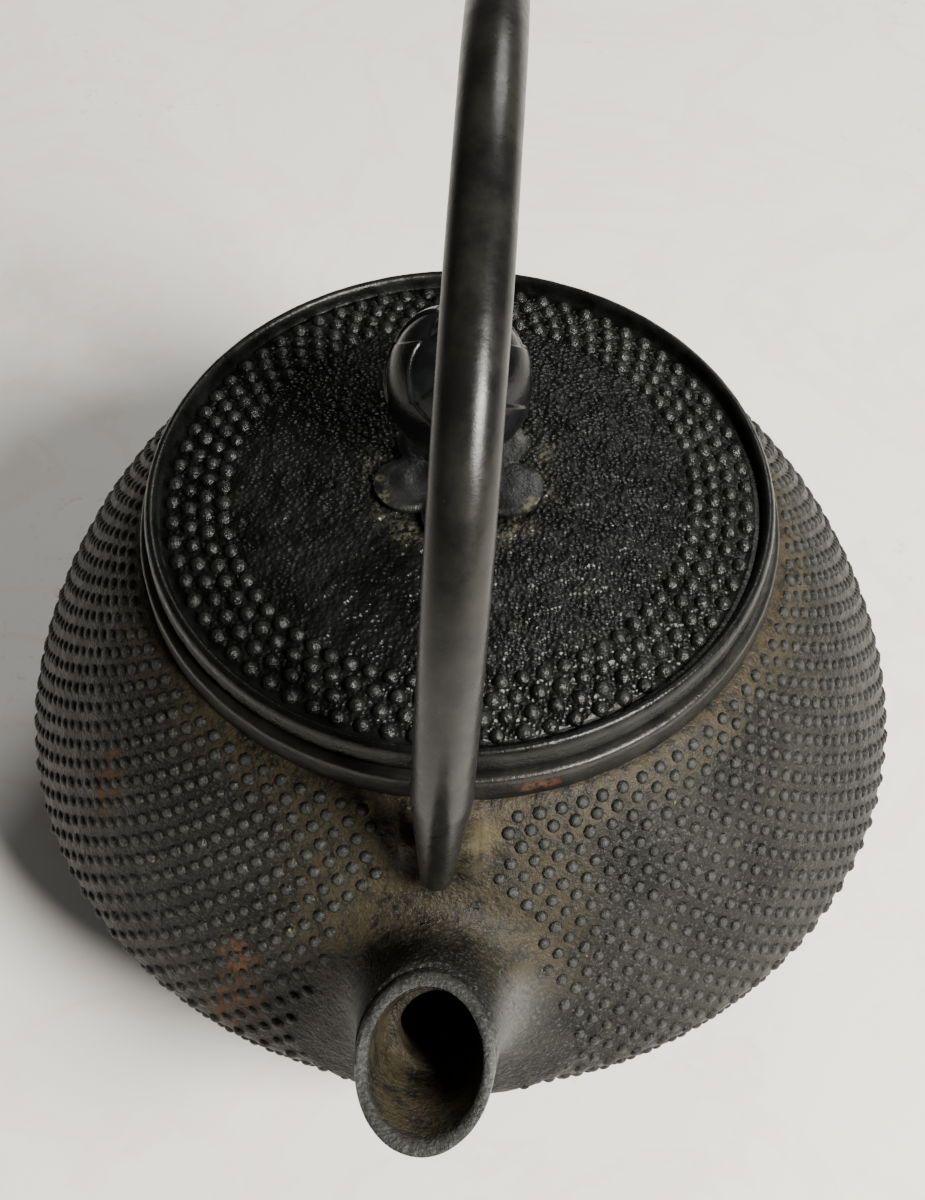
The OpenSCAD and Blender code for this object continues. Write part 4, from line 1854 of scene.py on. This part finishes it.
class Knob:
    """The plum-blossom bud on its neck, and the seat plate under it."""

    def __init__(self, sizes: KnobSizes) -> None:
        """Takes the sizes.

        Args:
            sizes: sizes of the knob.
        """
        self.sizes = sizes

    def petals(self, turn: Array, share: Array) -> Array:
        """Height of the overlapping petals over the bud's plain surface.

        Args:
            turn: angle round the axis.
            share: height on the bud, from 0 at its foot to 1 at its top.

        Returns:
            Shares of the petals' thickness, from 0 to 1.
        """
        best = np.zeros(np.broadcast(turn, share).shape)
        for layer, (start, low, high, half) in enumerate(
            ((0.3, -0.30, 0.70, 0.80), (0.95, 0.05, 1.02, 0.66))
        ):
            for k in range(5):
                middle = start + 2.0 * math.pi * k / 5
                off = np.angle(np.exp(1j * (turn - middle)))
                t = np.clip((share - low) / (high - low), 0.0, 1.0)
                width = half * np.sqrt(np.maximum(1.0 - (2.0 * t - 0.9) ** 2, 0.0)) + 0.0
                width = width * (1.0 - 0.35 * ease(0.6, 1.0, t))
                inside = ease(0.0, 0.07, width - np.abs(off)) * ease(0.0, 0.02, high - share)
                tilt = 0.55 + 0.35 * off / half
                lift = inside * (tilt * (0.75 if layer else 1.0) + 0.1 * np.cos(1.6 * off / half))
                best = np.maximum(best, lift)
        return np.clip(best, 0.0, 1.0)

    def bud(self, material: bpy.types.Material) -> bpy.types.Object:
        """The bud and its neck.

        Args:
            material: the finish.

        Returns:
            The piece.
        """
        s = self.sizes
        foot = s.seat_z + s.seat_h
        neck = refined(
            [(s.neck_r - 0.02, foot + 0.02), (s.neck_r - 0.02, foot + 0.6),
             (s.neck_r - 0.35, foot + 2.0), (s.neck_r - 0.4, s.bud_z - 1.2),
             (s.neck_r - 0.05, s.bud_z + 0.02)], 0.5,
        )
        a = np.linspace(-0.5 * math.pi, 0.0, 60)[1:]
        mid = s.middle * s.bud_h
        lower = np.column_stack(
            [s.neck_r + (s.bud_r - s.neck_r) * np.cos(a) ** s.power,
             s.bud_z + mid * (1.0 + np.sin(a))]
        )
        a = np.linspace(0.0, 0.5 * math.pi, 90)[1:]
        upper = np.column_stack(
            [s.pit_r + (s.bud_r - s.pit_r) * np.cos(a) ** s.power,
             s.bud_z + mid + (s.bud_h - mid) * np.sin(a)]
        )
        top = s.bud_z + s.bud_h
        pit = np.array([(1.9, top - 0.25), (1.6, top - 0.8), (1.1, top - 1.3), (0.5, top - 1.5)])
        profile = np.concatenate([neck, lower, upper, pit, [(0.0, top - 1.55)]])[::-1]
        shell = turned(profile, 288)
        p = shell.points
        r = np.hypot(p[:, 0], p[:, 1])
        share = (p[:, 2] - s.bud_z) / s.bud_h
        turn = np.arctan2(p[:, 1], p[:, 0])
        free = ease(0.02, 0.16, share) * ease(2.3, 4.2, r)
        crown = ease(0.80, 0.97, share) * ease(1.2, 2.6, r)
        rosette = 0.5 - 0.5 * np.cos(5.0 * turn + 0.6)
        amount = free * s.petal * (1.9 * self.petals(turn, share) - 1.9)
        shell.push(amount - 0.35 * crown * rosette - 0.02)
        shell.masks["dust"] = 0.1 * ease(0.05, -0.3, share)
        shell.masks["tip"] = 0.4 * crown
        return shell.build("knob_bud", material, 60.0)

    def seat(self, material: bpy.types.Material) -> bpy.types.Object:
        """The flower-shaped seat plate with raised petals.

        Args:
            material: the finish.

        Returns:
            The piece.
        """
        s = self.sizes
        around = 360
        turn = 2.0 * math.pi * np.arange(around) / around
        edge = np.full(around, s.core_r)
        for k in range(s.lobes):
            off = np.angle(np.exp(1j * (turn + 0.5 * math.pi - 2.0 * math.pi * k / s.lobes)))
            reach = s.seat_r - s.lobe_r
            under = s.lobe_r ** 2 - (reach * np.sin(off)) ** 2
            lobe = reach * np.cos(off) + np.sqrt(np.maximum(under, 0.0))
            edge = np.where((under > 0) & (np.abs(off) < 1.2), np.maximum(edge, lobe), edge)
        kernel = np.hanning(15)
        kernel /= kernel.sum()
        edge = np.convolve(np.concatenate([edge[-7:], edge, edge[:7]]), kernel, "valid")
        top, low = s.seat_z + s.seat_h - 0.02, s.seat_z - 0.02
        rings = []
        for share in np.concatenate([np.linspace(0.21, 0.93, 26), [0.96, 0.985, 0.998, 1.0]]):
            r = edge * share
            dip = 0.10 + 0.42 * ease(0.80, 1.0, np.full(around, share)) ** 2
            vein = 0.5 + 0.5 * np.cos(s.lobes * (turn + 0.5 * math.pi))
            groove = 0.30 * (1.0 - vein) ** 2 * ease(0.3, 0.6, np.full(around, share))
            ripple = 0.09 * np.cos(6.0 * math.pi * share) * vein
            z = top - dip - groove + ripple
            rings.append(np.column_stack([r * np.cos(turn), r * np.sin(turn), z]))
        for share, z in ((0.999, low + 0.5), (0.985, low + 0.1), (0.96, low), (0.6, low), (0.21, low)):
            r = edge * share
            rings.append(np.column_stack([r * np.cos(turn), r * np.sin(turn), np.full(around, z)]))
        shell = rings_to_shell(np.array(rings), False, False, True)
        lump = GRAIN.at(shell.points, 1.6, 2)
        shell.push(0.06 * lump * ease(low, top - 1.0, shell.points[:, 2]))
        r = np.hypot(shell.points[:, 0], shell.points[:, 1])
        shell.masks["dust"] = 0.3 * ease(9.5, 12.5, r) * ease(0.0, 0.4, lump)
        return shell.build("knob_seat_plate", material, 50.0)

    def build(self) -> None:
        """Makes and dresses the knob's pieces."""
        lacquer = Enamel(
            "knob_lacquer", (0.002, 0.002, 0.0024), (0.006, 0.0065, 0.007),
            gloss=0.13, grain=0.04, shine=0.14,
        ).build()
        plate = Enamel(
            "seat_lacquer", (0.003, 0.0033, 0.0034), (0.009, 0.010, 0.010),
            gloss=0.34, grain=0.12, shine=0.28,
        ).build()
        bud, seat = self.bud(lacquer), self.seat(plate)
        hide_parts("lid_knob")
        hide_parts("knob_seat")
        settle(bud, Body.KNOB)
        settle(seat, Body.LID)


# ---------------------------------------------------------------- the bail


@dataclass(frozen=True)
class BailSizes:
    """Sizes of the bail, heights above its pivot axis."""

    pivot_z: float = 69.3
    rise: float = 82.8
    rod_r: float = 3.98
    tip_r: float = 2.3
    taper: float = 19.0
    leg_y: float = 54.8
    flat_y: float = 53.7
    flat_h: float = 6.9
    lean: float = 2.7
    leg_r: float = 150.0
    corner_r: float = 45.0
    crown_r: float = 60.0
    pin_r: float = 1.88
    pin_to: float = 49.4


class Bail:
    """The swinging handle, swept along its bent line."""

    def __init__(self, sizes: BailSizes) -> None:
        """Takes the sizes.

        Args:
            sizes: sizes of the bail.
        """
        self.sizes = sizes

    def line(self) -> Tuple[Array, Array]:
        """The rod's middle line and its radius, from one tip to the crown.

        Returns:
            Points across and above the pivot axis, and the radii.
        """
        s = self.sizes
        leg = np.array([s.leg_y - s.leg_r, s.taper])
        crown = np.array([0.0, s.rise - s.crown_r])
        gap = crown - leg
        far = float(np.linalg.norm(gap))
        unit = gap / far
        leg_in, crown_in = s.leg_r - s.corner_r, s.crown_r - s.corner_r
        along = (far * far + leg_in * leg_in - crown_in * crown_in) / (2.0 * far)
        aside = math.sqrt(leg_in * leg_in - along * along)
        corner = leg + unit * along + np.array([-unit[1], unit[0]]) * aside
        first = math.atan2(corner[1] - leg[1], corner[0] - leg[0])
        second = math.atan2(corner[1] - crown[1], corner[0] - crown[0])
        low = np.linspace(-s.tip_r, s.taper, 34)
        parts = [np.column_stack([np.full(len(low), s.leg_y), low])]
        for centre, radius, start, end in (
            (leg, s.leg_r, 0.0, first),
            (corner, s.corner_r, first, second),
            (crown, s.crown_r, second, 0.5 * math.pi),
        ):
            angle = np.linspace(start, end, max(3, int(radius * (end - start) / 0.9)))[1:]
            parts.append(centre + radius * np.column_stack([np.cos(angle), np.sin(angle)]))
        points = np.concatenate(parts)
        t = np.clip((points[:, 1] + 1.4) / (s.taper + 1.4), 0.0, 1.0)
        radii = s.tip_r + (s.rod_r - s.tip_r) * t
        end = np.clip((points[:, 1] + s.tip_r) / 0.9, 0.0, 1.0)
        radii = np.where(points[:, 1] < 3, radii - 0.9 * (1.0 - np.sqrt(end * (2 - end))), radii)
        return points, radii

    def rod(self, material: bpy.types.Material) -> bpy.types.Object:
        """The rod with its pins.

        Args:
            material: the finish.

        Returns:
            The piece.
        """
        s = self.sizes
        half, radii = self.line()
        other = half[-2::-1] * np.array([-1.0, 1.0])
        line = np.concatenate([half, other])
        size = np.concatenate([radii, radii[-2::-1]])
        ahead = np.gradient(line, axis=0)
        ahead /= np.linalg.norm(ahead, axis=1, keepdims=True)
        around = 56
        turn = 2.0 * math.pi * np.arange(around) / around
        rings = np.empty((len(line), around, 3))
        rings[..., 0] = size[:, None] * np.cos(turn)
        rings[..., 1] = line[:, :1] - ahead[:, 1:2] * size[:, None] * np.sin(turn)
        rings[..., 2] = line[:, 1:2] + ahead[:, :1] * size[:, None] * np.sin(turn)
        rod = rings_to_shell(rings, True, True)
        p = rod.points
        middle = np.mean(p, axis=0)
        if np.sum(rod.normals() * (p - middle) * (p[:, 2:3] > 60)) < 0:
            rod.quads, rod.tris = rod.quads[:, ::-1], rod.tris[:, ::-1]
        wave = GRAIN.at(p, 11.0, 2) * 0.05 + GRAIN.at(p, 3.0, 2) * 0.02
        rod.push(wave - 0.06)
        p = rod.points
        end = ease(s.flat_h + 0.5, s.flat_h - 0.5, p[:, 2])
        flat = np.maximum(np.abs(p[:, 1]), s.flat_y)
        p[:, 1] = np.sign(p[:, 1]) * (end * flat + (1.0 - end) * np.abs(p[:, 1]))
        pins = []
        for side in (1.0, -1.0):
            pin = turned(
                refined([(0.0, s.leg_y), (s.pin_r, s.leg_y), (s.pin_r, s.pin_to + 0.3),
                         (s.pin_r - 0.3, s.pin_to), (0.0, s.pin_to)], 1.2), 32,
            )
            turn_in = np.array([[1.0, 0, 0], [0, 0, side], [0, -side, 0]])
            pins.append(pin.moved(turn_in))
        shell = together([rod, *pins])
        a = math.radians(s.lean)
        lean = np.array([[math.cos(a), 0, math.sin(a)], [0, 1, 0], [-math.sin(a), 0, math.cos(a)]])
        return shell.moved(lean, (0.0, 0.0, s.pivot_z)).build("bail_rod", material, 40.0)

    def build(self) -> None:
        """Makes and dresses the bail."""
        rod = self.rod(Satin().build())
        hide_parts("bail")
        settle(rod, Body.BAIL)


# ---------------------------------------------------------------- the strainer


@dataclass(frozen=True)
class StrainerSizes:
    """Sizes of the strainer."""

    low: float = 38.0
    ledge: float = 76.0
    rim_r: float = 42.4
    rim_h: float = 0.9
    wall_r: float = 37.0
    sheet: float = 0.5
    sleeve: float = 5.0
    band: float = 2.7
    cell: float = 2.05
    hole: float = 0.62


class Strainer:
    """The basket of fine perforated sheet with its rolled rim."""

    def __init__(self, sizes: StrainerSizes) -> None:
        """Takes the sizes.

        Args:
            sizes: sizes of the strainer.
        """
        self.sizes = sizes

    def tile(self, width: float, height: float) -> Shell:
        """One cell of the sheet with a round hole.

        Args:
            width: across.
            height: along.

        Returns:
            The cell, its middle at the origin and its outer side up.
        """
        s = self.sizes
        corners = np.array(
            [(1, 0), (1, 1), (0, 1), (-1, 1), (-1, 0), (-1, -1), (0, -1), (1, -1)], float
        ) * np.array([width, height]) * 0.5
        turn = np.arctan2(corners[:, 1], corners[:, 0])
        hole = s.hole * np.column_stack([np.cos(turn), np.sin(turn)])
        t = 0.5 * s.sheet
        loops = [
            np.column_stack([corners, np.full(8, t)]),
            np.column_stack([hole, np.full(8, t)]),
            np.column_stack([hole, np.full(8, -t)]),
            np.column_stack([corners, np.full(8, -t)]),
        ]
        shell = rings_to_shell(np.array(loops), False, False)
        if shell.normals()[:8, 2].mean() < 0:
            shell.quads = shell.quads[:, ::-1]
        return shell

    def wall(self, repeater: Repeater, material: bpy.types.Material) -> bpy.types.Object:
        """The perforated wall.

        Args:
            repeater: the tree that sets the cells out.
            material: the finish.

        Returns:
            The piece.
        """
        s = self.sizes
        r = s.wall_r - 0.5 * s.sheet
        count = int(round(2.0 * math.pi * r / s.cell))
        low, high = s.low + s.band - 0.6, s.ledge - s.sleeve + 0.6
        rows = int(round((high - low) / s.cell))
        height = (high - low) / rows
        turn = 2.0 * math.pi * np.arange(count) / count
        out = np.column_stack([np.cos(turn), np.sin(turn), np.zeros(count)])
        side = np.column_stack([-np.sin(turn), np.cos(turn), np.zeros(count)])
        points = [out * r + [0, 0, low + height * (k + 0.5)] for k in range(rows)]
        width = 2.0 * r * math.tan(math.pi / count)
        return repeater.build(
            "strainer_mesh_wall", self.tile(width, height), np.concatenate(points),
            np.tile(out, (rows, 1)), material, along=np.tile(side, (rows, 1)),
        )

    def floor(self, repeater: Repeater, material: bpy.types.Material) -> bpy.types.Object:
        """The perforated floor.

        Args:
            repeater: the tree that sets the cells out.
            material: the finish.

        Returns:
            The piece.
        """
        s = self.sizes
        reach = s.wall_r - s.sheet - 1.8
        line = np.arange(-20, 21) * s.cell
        x, y = np.meshgrid(line, line)
        keep = np.hypot(np.abs(x) + 0.5 * s.cell, np.abs(y) + 0.5 * s.cell) < reach + 0.6
        points = np.column_stack([x[keep], y[keep], np.full(keep.sum(), s.low + 0.5 * s.sheet)])
        return repeater.build(
            "strainer_mesh_floor", self.tile(s.cell, s.cell), points,
            np.tile([0.0, 0.0, 1.0], (len(points), 1)), material,
        )

    def frame(self, material: bpy.types.Material) -> bpy.types.Object:
        """The rim, the sleeve, the foot band and the floor's border.

        Args:
            material: the finish.

        Returns:
            The piece.
        """
        s = self.sizes
        inner = s.wall_r - s.sheet
        top = s.ledge + s.rim_h
        rim = refined(
            [
                (inner, s.ledge - s.sleeve + 0.1), (inner, top - 0.9), (inner + 0.3, top - 0.35),
                (inner + 0.9, top - 0.08), (inner + 2.2, top - 0.12), (s.rim_r - 1.0, top - 0.12),
                (s.rim_r - 0.3, top - 0.04), (s.rim_r, top - 0.3), (s.rim_r, s.ledge + 0.25),
                (s.rim_r - 0.3, s.ledge + 0.02), (s.wall_r + 1.2, s.ledge + 0.02),
                (s.wall_r + s.sheet, s.ledge - 0.5), (s.wall_r + s.sheet, s.ledge - s.sleeve),
                (inner, s.ledge - s.sleeve),
            ],
            1.0,
        )[:-1]
        foot = refined(
            [
                (inner - 3.6, s.low + 0.02), (inner - 3.6, s.low + s.sheet - 0.02),
                (inner - 0.4, s.low + s.sheet - 0.02), (inner, s.low + 0.9),
                (inner, s.low + s.band), (s.wall_r + s.sheet - 0.02, s.low + s.band),
                (s.wall_r + s.sheet - 0.02, s.low + 0.6), (s.wall_r - 0.1, s.low + 0.02),
                (inner - 3.6, s.low + 0.02),
            ],
            1.0,
        )[:-1]
        shell = together([turned(rim, 240, True), turned(foot, 240, True)])
        return shell.build("strainer_frame", material, 40.0)

    def build(self, repeater: Repeater) -> None:
        """Makes and dresses the strainer.

        Args:
            repeater: the tree that sets the cells out.
        """
        steel = Steel("strainer_sheet", (0.62, 0.62, 0.61), 0.24).build()
        shell = self.frame(steel)
        wall, floor = self.wall(repeater, steel), self.floor(repeater, steel)
        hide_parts("strainer_rim", "strainer_band")
        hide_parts("strainer_wall")
        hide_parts("strainer_floor")
        for piece in (shell, wall, floor):
            settle(piece, Body.STRAINER)


class Fixings:
    """The stud, washer and nut, which keep their CAD shapes."""

    NODES = ("knob_stud", "knob_washer", "knob_nut")

    def build(self) -> None:
        """Gives the three nodes their finish."""
        steel = Steel("plain_steel", (0.48, 0.48, 0.47), 0.34).build()
        for name in self.NODES:
            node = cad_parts[name]
            node.data.materials.clear()
            node.data.materials.append(steel)
            LOG.info("%s: finish set", name)


def main() -> None:
    """Builds camera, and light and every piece."""
    logging.basicConfig(level=logging.INFO, format="%(name)s %(message)s")
    studio = Studio()
    studio.camera()
    studio.build()
    repeater = Repeater()
    Pot(PotSizes(), SpoutSizes(), Nails()).build(repeater)
    Lid(LidSizes()).build(repeater)
    Knob(KnobSizes()).build()
    Bail(BailSizes()).build()
    Strainer(StrainerSizes()).build(repeater)
    Fixings().build()


if __name__ == "__main__":
    main()
